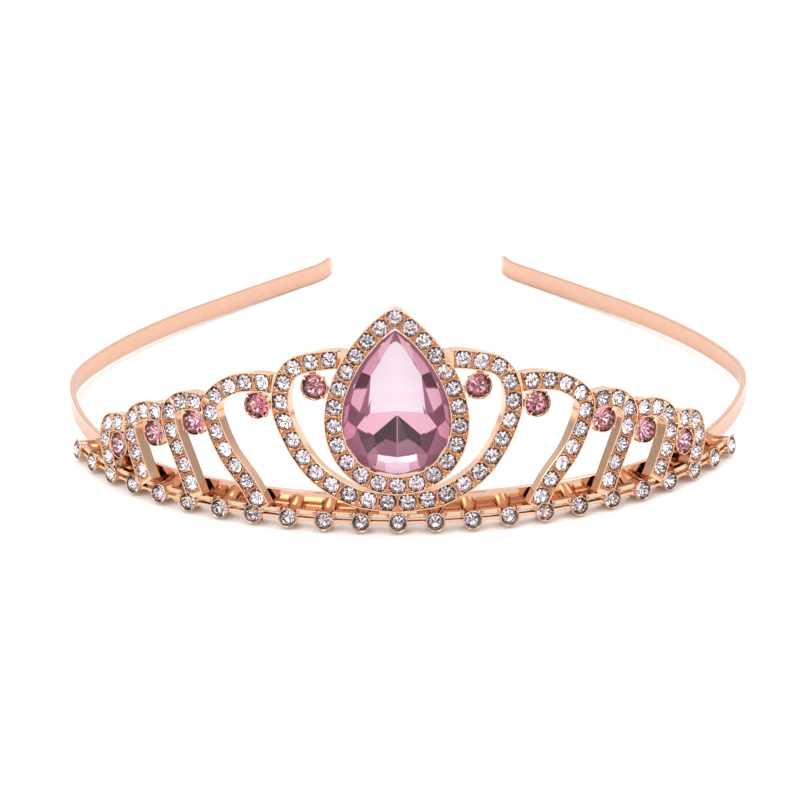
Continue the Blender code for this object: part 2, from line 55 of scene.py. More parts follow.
Colour = Tuple[float, float, float]
Stops = Tuple[Tuple[float, Colour], ...]

logging.basicConfig(level=logging.INFO, format="%(message)s")
LOG = logging.getLogger("tiara")
FRAME_NODE = "tiara_frame"
BODY = "root"


def paint(red: int, green: int, blue: int) -> Colour:
    """Turn a display colour of 0 to 255 into the linear colour that a shader takes.

    Args:
        red: Red on the display.
        green: Green on the display.
        blue: Blue on the display.

    Returns:
        The linear colour.
    """
    shares = np.array([red, green, blue]) / 255.0
    linear = np.where(shares <= 0.04045, shares / 12.92, ((shares + 0.055) / 1.055) ** 2.4)
    return tuple(float(value) for value in linear)


# The wall and the lines on it


@dataclass(frozen=True)
class Wall:
    """The leaning wall that carries the ornament."""

    half_length: float = 0.1765
    front_reach: float = 0.06114
    lean: float = math.radians(9.0)
    level: float = 0.0021241
    samples: int = 700
    bends: Tuple[Tuple[float, float], ...] = (
        (0.192, 27.3), (0.190, 36.4), (0.127, 17.5), (0.084, 29.0),
        (0.085, 11.0), (0.113, 10.5), (0.172, 2.6), (0.027, -42.0))

    @cached_property
    def foot(self) -> Tuple[Array, Array, Array, Array]:
        """Distance, x, y and heading along the wall's foot, from the front to an end."""
        knots = np.cumsum([0.0] + [share for share, _ in self.bends]) * self.half_length
        turns = np.radians(np.cumsum([0.0] + [turn for _, turn in self.bends]))
        distance = np.linspace(0.0, knots[-1], self.samples)
        heading = np.interp(distance, knots, turns)
        step = distance[1] - distance[0]
        middle = (heading[1:] + heading[:-1]) / 2
        x = np.concatenate([[0.0], np.cumsum(np.cos(middle))]) * step
        y = np.concatenate([[0.0], np.cumsum(np.sin(middle))]) * step - self.front_reach
        return distance, x, y, heading

    def plan(self, across: Array) -> Tuple[Array, Array, Array]:
        """Read the wall's foot at signed distances from the front.

        Args:
            across: Signed distances.

        Returns:
            x, y and heading at each.
        """
        distance, x, y, heading = self.foot
        reach, side = np.abs(across), np.sign(across)
        return (side * np.interp(reach, distance, x), np.interp(reach, distance, y),
                side * np.interp(reach, distance, heading))

    def lay(self, points: Array) -> Array:
        """Lay (across, up, out) points on the wall.

        The foot's point at across, moved outwards by out * cos(lean) - up * sin(lean) square
        to the heading, and raised by up * cos(lean) + out * sin(lean).

        Args:
            points: Points of any shape, with three values in the last place.

        Returns:
            The same points in the world.
        """
        across, up, out = np.moveaxis(np.asarray(points, dtype=float), -1, 0)
        x, y, heading = self.plan(across)
        outwards = out * math.cos(self.lean) - up * math.sin(self.lean)
        return np.stack([x + outwards * np.sin(heading), y - outwards * np.cos(heading),
                         self.level + up * math.cos(self.lean) + out * math.sin(self.lean)],
                        axis=-1)

    def axes(self, across: float) -> Array:
        """Three rows: the world directions along the wall, up it and out of it."""
        heading = float(self.plan(np.array([across]))[2][0])
        cos_h, sin_h = math.cos(heading), math.sin(heading)
        cos_l, sin_l = math.cos(self.lean), math.sin(self.lean)
        return np.array([[cos_h, sin_h, 0.0],
                         [-sin_l * sin_h, sin_l * cos_h, cos_l],
                         [cos_l * sin_h, -cos_l * cos_h, sin_l]])


WALL = Wall()


@dataclass(frozen=True)
class Course:
    """A middle line on the wall that is read by distance along it."""

    points: Array
    closed: bool = False

    @cached_property
    def reach(self) -> Array:
        """Distance from the start to each point."""
        steps = np.linalg.norm(np.diff(self.points, axis=0), axis=1)
        return np.concatenate([[0.0], np.cumsum(steps)])

    @property
    def length(self) -> float:
        """Length of the whole line."""
        return float(self.reach[-1])

    def at(self, distance: Array) -> Array:
        """Points at distances from the start, as rows of (across, up)."""
        distance = np.asarray(distance, dtype=float)
        if self.closed:
            distance = distance % self.length
        return np.stack([np.interp(distance, self.reach, self.points[:, i]) for i in (0, 1)], -1)

    def left(self, distance: Array, spread: float = 0.0004) -> Array:
        """Unit vectors to the left of the way that the line runs at distances along it."""
        distance = np.asarray(distance, dtype=float)
        near, far = distance - spread, distance + spread
        if not self.closed:
            near, far = np.maximum(near, 0.0), np.minimum(far, self.length)
        along = self.at(far) - self.at(near)
        along = along / np.linalg.norm(along, axis=-1, keepdims=True)
        return np.stack([-along[..., 1], along[..., 0]], axis=-1)

    def nearest(self, point: Array) -> Array:
        """The sampled point of the line that lies nearest to a point."""
        return self.points[np.argmin(np.linalg.norm(self.points - point, axis=1))]


def smooth_course(points: Sequence[Array], per_span: int = 12) -> Array:
    """Draw a Catmull-Rom curve through points.

    Args:
        points: Points that the curve runs through.
        per_span: Samples between two of them.

    Returns:
        The samples as rows of (across, up).
    """
    knots = np.asarray(points)
    ends = np.vstack([2 * knots[0] - knots[1], knots, 2 * knots[-1] - knots[-2]])
    share = np.linspace(0.0, 1.0, per_span, endpoint=False)[:, None]
    spans = []
    for first, start, end, last in zip(ends, ends[1:], ends[2:], ends[3:]):
        bend = 2 * first - 5 * start + 4 * end - last
        twist = 3 * start - first - 3 * end + last
        spans.append(start + 0.5 * share * (end - first + share * (bend + share * twist)))
    return np.vstack(spans + [knots[-1:]])


def teardrop(width: float, length: float, foot: float, point: float, count: int) -> Array:
    """Draw a pear outline from its tip round to its tip.

    Across is sin(a) * |sin(a / 2)| ** point, scaled to the width, and up is
    foot + length * (1 + cos(a)) / 2, while the angle a goes once round.

    Args:
        width: Greatest width.
        length: From the round end to the tip.
        foot: Height of the round end.
        point: The larger, the more drawn out the tip.
        count: Number of points.

    Returns:
        Rows of (across, up).
    """
    angle = np.linspace(0.0, 2 * math.pi, count + 1)[:-1]
    spread = np.sin(angle) * np.abs(np.sin(angle / 2)) ** point
    fine = np.linspace(0.0, math.pi, 721)
    widest = (np.sin(fine) * np.sin(fine / 2) ** point).max()
    return np.stack([spread / widest * width / 2,
                     foot + length * (1 + np.cos(angle)) / 2], axis=-1)


# Shells: faces gathered for one piece


def grid_faces(rows: int, columns: int, ring: bool, loop: bool = False) -> Array:
    """Join a grid of points by four-sided faces.

    Args:
        rows: Rows of the grid.
        columns: Points in a row.
        ring: Whether each row's last point joins its first.
        loop: Whether the last row joins the first.

    Returns:
        Four point numbers for each face.
    """
    row = np.arange(rows if loop else rows - 1)[:, None]
    column = np.arange(columns if ring else columns - 1)[None, :]
    below, beside = (row + 1) % rows, (column + 1) % columns
    corners = [row * columns + column, row * columns + beside,
               below * columns + beside, below * columns + column]
    return np.stack(corners, axis=-1).reshape(-1, 4)


def facet_faces(upper: int, lower: int, count: int, ahead: bool) -> List[List[int]]:
    """Join two rings that are half a step apart by three-sided facets.

    Args:
        upper: Number of the upper ring.
        lower: Number of the lower ring.
        count: Points in a ring.
        ahead: Whether the lower ring is the one that is half a step further on.

    Returns:
        Three point numbers for each facet, two facets for each step.
    """
    now = np.arange(count)
    then = (now + 1) % count
    top, top_next, low, low_next = (upper * count + now, upper * count + then,
                                    lower * count + now, lower * count + then)
    corners = ((top, low, top_next, low, low_next, top_next) if ahead
               else (top, low, low_next, top, low_next, top_next))
    return np.stack(corners, axis=-1).reshape(-1, 3).tolist()


@dataclass
class Shell:
    """Points and faces gathered for one piece, with a painted sparkle tone and a finish for each
    face.
    """

    points: List[Array] = field(default_factory=list)
    faces: List[List[int]] = field(default_factory=list)
    painted_sparkles: List[float] = field(default_factory=list)
    finishes: List[int] = field(default_factory=list)
    count: int = 0

    def add(self, points: Array, faces: Sequence[Sequence[int]],
            painted_sparkles: Optional[Sequence[float]] = None,
            finishes: Optional[Sequence[int]] = None) -> None:
        """Add loose faces.

        Args:
            points: Points in the world.
            faces: Point numbers of each face, from nought.
            painted_sparkles: A painted sparkle tone for each face, light or dark, that stands in
                for reflections in a stone's foil.
            finishes: A finish number for each face.
        """
        flat = np.asarray(points, dtype=float).reshape(-1, 3)
        self.faces.extend([[int(i) + self.count for i in face] for face in faces])
        self.painted_sparkles.extend(painted_sparkles if painted_sparkles is not None else [0.5] * len(faces))
        self.finishes.extend(finishes if finishes is not None else [0] * len(faces))
        self.points.append(flat)
        self.count += len(flat)

    def grid(self, points: Array, ring: bool = True, loop: bool = False,
             capped: bool = True) -> None:
        """Add a grid of points as a surface, with a face over each open end.

        Args:
            points: Rows of points in the world.
            ring: Whether each row closes on itself.
            loop: Whether the last row joins the first.
            capped: Whether the first and last rows get a face.
        """
        rows, columns = points.shape[:2]
        faces = grid_faces(rows, columns, ring, loop).tolist()
        if capped and ring and not loop:
            faces.append(list(range(columns))[::-1])
            faces.append(list(range((rows - 1) * columns, rows * columns)))
        self.add(points, faces)

    def dress(self, name: str, materials: Sequence[bpy.types.Material], slot: str,
              nodes: Sequence[str], smooth: Optional[float] = 32.0,
              weld: bool = False) -> bpy.types.Object:
        """Make the piece from what was gathered, and give it its body and its place.

        Args:
            name: Name of the piece.
            materials: Materials by finish number.
            slot: Slot of the record that it takes its finish from; not used.
            nodes: Solids of the frame that it stands for.
            smooth: Angle in degrees over which an edge stays sharp, or None for flat faces.
            weld: Whether points that meet are joined.

        Returns:
            The piece.
        """
        mesh = bpy.data.meshes.new(name)
        mesh.from_pydata(np.vstack(self.points).tolist(), [], self.faces)
        mesh.polygons.foreach_set("material_index", np.array(self.finishes, dtype=np.int32))
        # Each face's painted sparkle tone, which the foil materials show as painted reflection
        painted_sparkle = mesh.attributes.new("painted_sparkle", "FLOAT", "FACE")
        painted_sparkle.data.foreach_set("value", np.array(self.painted_sparkles, dtype=np.float32))
        shape = bmesh.new()
        shape.from_mesh(mesh)
        if weld:
            bmesh.ops.remove_doubles(shape, verts=shape.verts, dist=1e-6)
        bmesh.ops.recalc_face_normals(shape, faces=shape.faces)
        shape.to_mesh(mesh)
        shape.free()
        for material in materials:
            mesh.materials.append(material)
        if smooth is not None:
            mesh.shade_smooth()
            mesh.set_sharp_from_angle(angle=math.radians(smooth))
        piece = bpy.data.objects.new(name, mesh)
        bpy.context.scene.collection.objects.link(piece)
        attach(piece, BODY)
        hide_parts(*nodes)
        triangles = sum(len(face) - 2 for face in self.faces)
        LOG.info("%s: %d faces, %d triangles", name, len(self.faces), triangles)
        return piece


# Finishes


class Group(Enum):
    """Shader groups that more than one material uses."""

    MOTTLE = "mottle"


def wire(tree: bpy.types.NodeTree,
         *links: Tuple[bpy.types.Node, str, bpy.types.Node, str]) -> None:
    """Link nodes.

    Args:
        tree: The tree that they are in.
        links: For each link its first node and output, and its second node and input.
    """
    for source, output, target, entry in links:
        tree.links.new(source.outputs[output], target.inputs[entry])


def fill(node: bpy.types.Node, values: Dict[str, object]) -> None:
    """Set a node's own values.

    Args:
        node: The node.
        values: A value for each input by name.
    """
    for name, value in values.items():
        node.inputs[name].default_value = value


def colour_ramp(tree: bpy.types.NodeTree, stops: Stops) -> bpy.types.Node:
    """Add a colour ramp.

    Args:
        tree: The tree that it goes in.
        stops: Places and colours along it.

    Returns:
        The ramp's node.
    """
    ramp = tree.nodes.new("ShaderNodeValToRGB")
    elements = ramp.color_ramp.elements
    while len(elements) < len(stops):
        elements.new(0.5)
    for element, (place, colour) in zip(elements, stops):
        element.position = place
        element.color = (*colour, 1.0)
    return ramp


def mottle_group() -> bpy.types.ShaderNodeTree:
    """Build, once, a group that puts fine uneven polish on a surface.

    Noise on Object coordinates gives a value about one half. The colour and the roughness
    lie between their two states by that value, and the height feeds a Bump node.

    Returns:
        The group.
    """
    found = bpy.data.node_groups.get(Group.MOTTLE.value)
    if found is not None:
        return found
    tree = bpy.data.node_groups.new(Group.MOTTLE.value, "ShaderNodeTree")
    for name, way, kind in (
            ("Scale", "INPUT", "Float"), ("Light", "INPUT", "Color"), ("Deep", "INPUT", "Color"),
            ("Smoothest", "INPUT", "Float"), ("Roughest", "INPUT", "Float"),
            ("Colour", "OUTPUT", "Color"), ("Roughness", "OUTPUT", "Float"),
            ("Height", "OUTPUT", "Float")):
        tree.interface.new_socket(name, in_out=way, socket_type=f"NodeSocket{kind}")
    given, kept, place, noise, blend, span = [tree.nodes.new(kind) for kind in (
        "NodeGroupInput", "NodeGroupOutput", "ShaderNodeTexCoord", "ShaderNodeTexNoise",
        "ShaderNodeMix", "ShaderNodeMapRange")]
    fill(noise, {"Detail": 3.0})
    blend.data_type = "RGBA"
    wire(tree, (place, "Object", noise, "Vector"), (given, "Scale", noise, "Scale"),
         (noise, "Fac", blend, "Factor"), (given, "Deep", blend, "A"),
         (given, "Light", blend, "B"), (noise, "Fac", span, "Value"),
         (given, "Smoothest", span, "To Min"), (given, "Roughest", span, "To Max"),
         (blend, "Result", kept, "Colour"), (span, "Result", kept, "Roughness"),
         (noise, "Fac", kept, "Height"))
    return tree


def new_material(name: str) -> Tuple[bpy.types.Material, bpy.types.Node]:
    """A material with nodes, and its Principled shader."""
    material = bpy.data.materials.new(name)
    material.use_nodes = True
    return material, material.node_tree.nodes["Principled BSDF"]


def place_mottle(tree: bpy.types.NodeTree, shader: bpy.types.Node, scale: float, light: Colour,
                 deep: Colour, smoothest: float, roughest: float) -> bpy.types.Node:
    """Let the mottle group give a shader its colour and roughness.

    Args:
        tree: The material's tree.
        shader: Its shader.
        scale: Size of the noise.
        light: Tint where it is light.
        deep: Tint where it is deep.
        smoothest: Least roughness.
        roughest: Greatest roughness.

    Returns:
        The group's node.
    """
    node = tree.nodes.new("ShaderNodeGroup")
    node.node_tree = mottle_group()
    fill(node, {"Scale": scale, "Light": (*light, 1.0), "Deep": (*deep, 1.0),
                "Smoothest": smoothest, "Roughest": roughest})
    wire(tree, (node, "Colour", shader, "Base Color"), (node, "Roughness", shader, "Roughness"))
    return node


@dataclass(frozen=True)
class RoseGold:
    """Polished rose-coloured plating with faint unevenness."""

    name: str = "rose_gold"
    light: Colour = paint(230, 193, 164)
    deep: Colour = paint(215, 173, 141)
    smoothest: float = 0.05
    roughest: float = 0.16
    grain: float = 700.0
    relief: float = 0.06
    relief_height: float = 0.00005

    def material(self) -> bpy.types.Material:
        """Build the material."""
        material, shader = new_material(self.name)
        tree = material.node_tree
        mottle = place_mottle(tree, shader, self.grain, self.light, self.deep,
                              self.smoothest, self.roughest)
        bump = tree.nodes.new("ShaderNodeBump")
        fill(bump, {"Strength": self.relief, "Distance": self.relief_height})
        fill(shader, {"Metallic": 1.0})
        wire(tree, (mottle, "Height", bump, "Height"), (bump, "Normal", shader, "Normal"))
        return material


@dataclass(frozen=True)
class CutGlass:
    """The clear front of a cut stone."""

    name: str
    light: Colour
    deep: Colour
    ior: float = 1.52
    roughest: float = 0.02
    grain: float = 900.0

    def material(self) -> bpy.types.Material:
        """Build the material."""
        material, shader = new_material(self.name)
        place_mottle(material.node_tree, shader, self.grain, self.light, self.deep,
                     0.0, self.roughest)
        fill(shader, {"Transmission Weight": 1.0, "IOR": self.ior})
        return material


@dataclass(frozen=True)
class PaintedSparkleFoil:
    """The mirror foil on the back of a stone, seen through its front, with painted reflections:
    each facet is painted light or dark.
    """

    name: str
    stops: Stops
    roughness: float
    metallic: float

    def material(self) -> bpy.types.Material:
        """Build the material, which reads each face's painted sparkle tone off a colour ramp."""
        material, shader = new_material(self.name)
        tree = material.node_tree
        painted_sparkle, ramp = tree.nodes.new("ShaderNodeAttribute"), colour_ramp(tree, self.stops)
        painted_sparkle.attribute_name = "painted_sparkle"
        fill(shader, {"Metallic": self.metallic, "Roughness": self.roughness})
        wire(tree, (painted_sparkle, "Fac", ramp, "Fac"), (ramp, "Color", shader, "Base Color"))
        return material


@dataclass(frozen=True)
class PaleFloor:
    """A plain pale floor."""

    name: str = "pale_floor"
    colour: Colour = (0.985, 0.985, 0.985)
    smoothest: float = 0.75
    roughest: float = 0.85
    grain: float = 3.0

    def material(self) -> bpy.types.Material:
        """Build the material."""
        material, shader = new_material(self.name)
        place_mottle(material.node_tree, shader, self.grain, self.colour, self.colour,
                     self.smoothest, self.roughest)
        fill(shader, {"Specular IOR Level": 0.0})
        return material


# Ramps for the foils, from dark to white: the colours of the painted sparkle, painted reflection
# and shade; the pink ramps also carry the stones' own pink
CLEAR_PAINTED_SPARKLE_STOPS: Stops = (
    (0.00, paint(48, 38, 44)), (0.24, paint(118, 100, 110)), (0.46, paint(218, 198, 208)),
    (0.66, paint(255, 240, 246)), (1.00, paint(255, 255, 255)))
PINK_PAINTED_SPARKLE_STOPS: Stops = (
    (0.00, paint(104, 44, 70)), (0.28, paint(176, 92, 120)), (0.52, paint(232, 150, 172)),
    (0.78, paint(250, 190, 204)), (1.00, paint(255, 244, 246)))
PEAR_PAINTED_SPARKLE_STOPS: Stops = (
    (0.00, paint(56, 22, 36)), (0.25, paint(140, 88, 108)), (0.50, paint(238, 166, 190)),
    (0.75, paint(255, 214, 228)), (1.00, paint(255, 246, 255)))


@dataclass(frozen=True)
class Finishes:
    """Every finish of the tiara, made once."""

    gold: bpy.types.Material = field(default_factory=lambda: RoseGold().material())
    # Painted shade: the headband's rose gold is a deeper copy of the rest's
    band_painted_shade: bpy.types.Material = field(default_factory=lambda: RoseGold(
        "band_gold_painted_shade", paint(223, 182, 160), paint(211, 168, 145)).material())
    clear: bpy.types.Material = field(default_factory=lambda: CutGlass(
        "clear_glass", (1.0, 0.99, 1.0), (0.98, 0.94, 0.96)).material())
    pink: bpy.types.Material = field(default_factory=lambda: CutGlass(
        "pink_glass", paint(255, 230, 235), paint(255, 220, 227)).material())
    pale: bpy.types.Material = field(default_factory=lambda: CutGlass(
        "pale_pink_glass", paint(255, 250, 254), paint(255, 245, 251), ior=1.25).material())
    clear_foil_painted_sparkle: bpy.types.Material = field(
        default_factory=lambda: PaintedSparkleFoil("clear_foil_painted_sparkle", CLEAR_PAINTED_SPARKLE_STOPS, 0.07, 0.95).material())
    pink_foil_painted_sparkle: bpy.types.Material = field(
        default_factory=lambda: PaintedSparkleFoil("pink_foil_painted_sparkle", PINK_PAINTED_SPARKLE_STOPS, 0.10, 0.9).material())
    pear_foil_painted_sparkle: bpy.types.Material = field(
        default_factory=lambda: PaintedSparkleFoil("pear_foil_painted_sparkle", PEAR_PAINTED_SPARKLE_STOPS, 0.30, 0.15).material())


# Small shapes that several pieces share


@dataclass(frozen=True)
class Bead:
    """A low domed bead of metal."""

    radius: float = 0.00020
    sides: int = 6

    def cast(self, shell: Shell, place: Tuple[float, float, float]) -> None:
        """Add a dome: rings of radius r * cos(a) at heights r * sin(a), and a top point.

        Args:
            shell: Shell of the piece.
            place: Its middle, as (across, up, out).
        """
        rise = np.radians([-35.0, 10.0, 55.0])[:, None]
        turn = (np.arange(self.sides) / self.sides * 2 * math.pi)[None, :]
        local = np.stack([np.cos(rise) * np.cos(turn), np.cos(rise) * np.sin(turn),
                          np.sin(rise) + 0 * turn], axis=-1) * self.radius
        ring = local @ WALL.axes(place[0]) + WALL.lay(np.array(place))
        top = np.array([0.0, 0.0, self.radius]) @ WALL.axes(place[0]) + WALL.lay(np.array(place))
        count = self.sides
        faces = grid_faces(3, count, True).tolist()
        faces += [[2 * count + i, 2 * count + (i + 1) % count, 3 * count] for i in range(count)]
        faces.append(list(range(count))[::-1])
        shell.add(np.vstack([ring.reshape(-1, 3), top[None]]), faces)


def turned(profile: Sequence[Tuple[float, float]], sides: int) -> Array:
    """Turn a closed profile of (radius, height) about the height's axis.

    Args:
        profile: Points of the profile.
        sides: Points round the axis.

    Returns:
        A grid of local points, one row for each point of the profile.
    """
    radius, height = np.array(profile).T
    turn = np.arange(sides) / sides * 2 * math.pi
    return np.stack([radius[:, None] * np.cos(turn), radius[:, None] * np.sin(turn),
                     height[:, None] + 0 * turn], axis=-1)


def soft_box(width: float, height: float, edge: float) -> Array:
    """Eight points round a rectangle with cut corners, as (beside, above)."""
    half, tall = width / 2, height / 2
    return np.array([[-half, -tall + edge], [-half, tall - edge], [-half + edge, tall],
                     [half - edge, tall], [half, tall - edge], [half, -tall + edge],
                     [half - edge, -tall], [-half + edge, -tall]])


def beam(shell: Shell, start: Array, end: Array, width: float,
         back: float, front: float, taper: float = 1.0) -> None:
    """Add a soft-edged bar between two points of the wall.

    Its section is a rectangle with cut corners, carried from start to end, and its width
    changes evenly to taper times itself.

    Args:
        shell: Shell of the piece.
        start: Where it starts, as (across, up).
        end: Where it ends.
        width: Width at the start.
        back: How far out its rear lies.
        front: How far out its face lies.
        taper: Width at the end, as a share of the width at the start.
    """
    way = (end - start) / np.linalg.norm(end - start)
    left = np.array([-way[1], way[0]])
    section = soft_box(width, front - back, min(0.00012, width / 5))
    share = np.linspace(0.0, 1.0, 5)[:, None, None]
    beside = section[None, :, 0:1] * (1 + (taper - 1) * share)
    flat = start + share * (end - start) + beside * left
    out = np.broadcast_to(section[None, :, 1:2] + (front + back) / 2, flat.shape[:2] + (1,))
    shell.grid(WALL.lay(np.concatenate([flat, out], axis=-1)))


# Stones


class Glass(Enum):
    """Which stones share a colour of glass."""

    CLEAR = "clear_glass"
    PINK = "pink_glass"
    PALE = "pale_pink_glass"


@dataclass(frozen=True)
class RoundCut:
    """The cut of a round stone: a flat top, two rows of crown facets and a foiled back."""

    radius: float
    rise: float
    depth: float
    sides: int = 10
    table: float = 0.54
    star: float = 0.79
    break_rise: float = 0.50
    lower: float = 0.50
    lower_depth: float = 0.55
    girdle: float = 0.00006
    painted_sparkle_swing: Tuple[float, float] = (0.25, 0.65)
    spread: float = 0.16

    def local(self) -> Tuple[Array, List[List[int]], List[int]]:
        """Work out the stone about its own middle.

        Each ring holds points at even angles, turned by half a step from the ring before it,
        so that neighbouring rings are joined by two rows of three-sided facets.

        Returns:
            Points, faces and finish numbers, nought for glass and one for foil.
        """
        half = math.pi / self.sides
        rings = ((self.table, self.rise, 0.0), (self.star, self.rise * self.break_rise, half),
                 (1.0, self.girdle, 0.0), (1.0, -self.girdle, 0.0),
                 (self.lower, -self.depth * self.lower_depth, half))
        turn = np.arange(self.sides) / self.sides * 2 * math.pi
        points = [np.stack([size * self.radius * np.cos(turn + shift),
                            size * self.radius * np.sin(turn + shift),
                            np.full(self.sides, height)], axis=-1)
                  for size, height, shift in rings]
        points.append(np.array([[0.0, 0.0, -self.depth]]))
        count = self.sides
        glass = [list(range(count))] + facet_faces(0, 1, count, True)
        glass += facet_faces(1, 2, count, False)
        now = np.arange(count)
        then = (now + 1) % count
        foil = np.stack([2 * count + now, 3 * count + now, 3 * count + then,
                         2 * count + then], axis=-1).tolist()
        foil += facet_faces(3, 4, count, True)
        foil += np.stack([4 * count + now, 5 * count + 0 * now, 4 * count + then],
                         axis=-1).tolist()
        return np.vstack(points), glass + foil, [0] * len(glass) + [1] * len(foil)

    def set_in(self, shell: Shell, place: Tuple[float, float, float],
               turn: float, chance: np.random.Generator, painted_sparkle_middle: float = 0.5,
               painted_light_slope: float = 0.0) -> None:
        """Set one stone on the wall and paint its foil facets light and dark by turns, a painted
        sparkle that stands in for reflections.

        Args:
            shell: Shell of the piece.
            place: Middle of its girdle, as (across, up, out).
            turn: Angle that it is turned by about its own axis.
            chance: Seeded numbers.
            painted_sparkle_middle: Middle of its painted sparkle tones, how light its foil is
                painted overall.
            painted_light_slope: How much lighter its uppermost facets are painted than those at its
                middle, painted light and shade by height; below nought the top is painted darker.
        """
        points, faces, finishes = self.local()
        cos_t, sin_t = math.cos(turn), math.sin(turn)
        spin = np.array([[cos_t, sin_t, 0.0], [-sin_t, cos_t, 0.0], [0.0, 0.0, 1.0]])
        spun = points @ spin
        world = spun @ WALL.axes(place[0]) + WALL.lay(np.array(place))
        order = np.arange(len(faces))
        # Painted sparkle: facets alternate light and dark, get painted light or shade by height,
        # and vary at random
        painted_sparkle_swing = np.where(order % 2 == 0, 1.0, -1.0) * chance.uniform(*self.painted_sparkle_swing, len(faces))
        painted_sparkle_swing += painted_light_slope * np.array([spun[face, 1].mean() for face in faces]) / self.radius * 2
        painted_sparkle_swing += painted_sparkle_middle + chance.normal(0.0, self.spread, len(faces))
        shell.add(world, faces, np.clip(painted_sparkle_swing, 0.0, 1.0).tolist(), finishes)


# The ornament's lines and rows


@dataclass(frozen=True)
class Pattern:
    """Where the halo, the lyre, the arches and the side stones lie."""

    half_width: float = 0.0671
    crest: float = 0.0341
    halo_foot: float = 0.0063
    halo_half_width: float = 0.0107
    halo_point: float = 0.60
    halo_points: int = 240
    lyre: Tuple[Tuple[float, float], ...] = (
        (0.000, 0.098), (0.060, 0.109), (0.119, 0.135), (0.203, 0.234), (0.264, 0.384),
        (0.299, 0.560), (0.272, 0.730), (0.174, 0.789), (0.108, 0.786))
    arches: Tuple[Tuple[str, float, Tuple[Tuple[float, float], ...]], ...] = (
        ("second", 0.672, ((0.353, 0.651), (0.430, 0.622), (0.487, 0.537), (0.490, 0.450),
                           (0.446, 0.288), (0.382, 0.148), (0.341, 0.030))),
        ("third", 0.454, ((0.540, 0.502), (0.587, 0.487), (0.619, 0.425), (0.611, 0.340),
                          (0.563, 0.176), (0.523, 0.030))),
        ("fourth", 0.412, ((0.669, 0.402), (0.718, 0.378), (0.754, 0.317), (0.751, 0.237),
                           (0.702, 0.085), (0.681, 0.030))),
        ("fifth", 0.545, ((0.806, 0.273), (0.852, 0.235), (0.857, 0.152), (0.836, 0.081),
                          (0.820, 0.030))))
    cups: Tuple[Tuple[float, float, str, str], ...] = (
        (0.210, 0.654, "halo", "lyre"), (0.361, 0.537, "lyre", "second"),
        (0.540, 0.402, "second", "third"), (0.665, 0.293, "third", "fourth"),
        (0.793, 0.164, "fourth", "fifth"))

    def metres(self, place: Sequence[float]) -> Array:
        """A pair of shares as metres across and up."""
        return np.array([place[0] * self.half_width, place[1] * self.crest])

    @cached_property
    def courses(self) -> Dict[str, Course]:
        """The middle line of the halo, the lyre and each arch on the right, by name."""
        outline = teardrop(2 * self.halo_half_width, self.crest - self.halo_foot,
                           self.halo_foot, self.halo_point, self.halo_points)
        order = np.roll(outline, self.halo_points // 2, axis=0)
        right = smooth_course([self.metres(place) for place in self.lyre])
        mirror = right[::-1] * np.array([-1.0, 1.0])
        found = {"halo": Course(np.vstack([order, order[:1]]), closed=True),
                 "lyre": Course(np.vstack([mirror, right[1:]]))}
        before = Course(right)
        for name, spring, places in self.arches:
            start = before.at(spring * before.length)
            before = Course(smooth_course([start] + [self.metres(p) for p in places]))
            found[name] = before
        return found


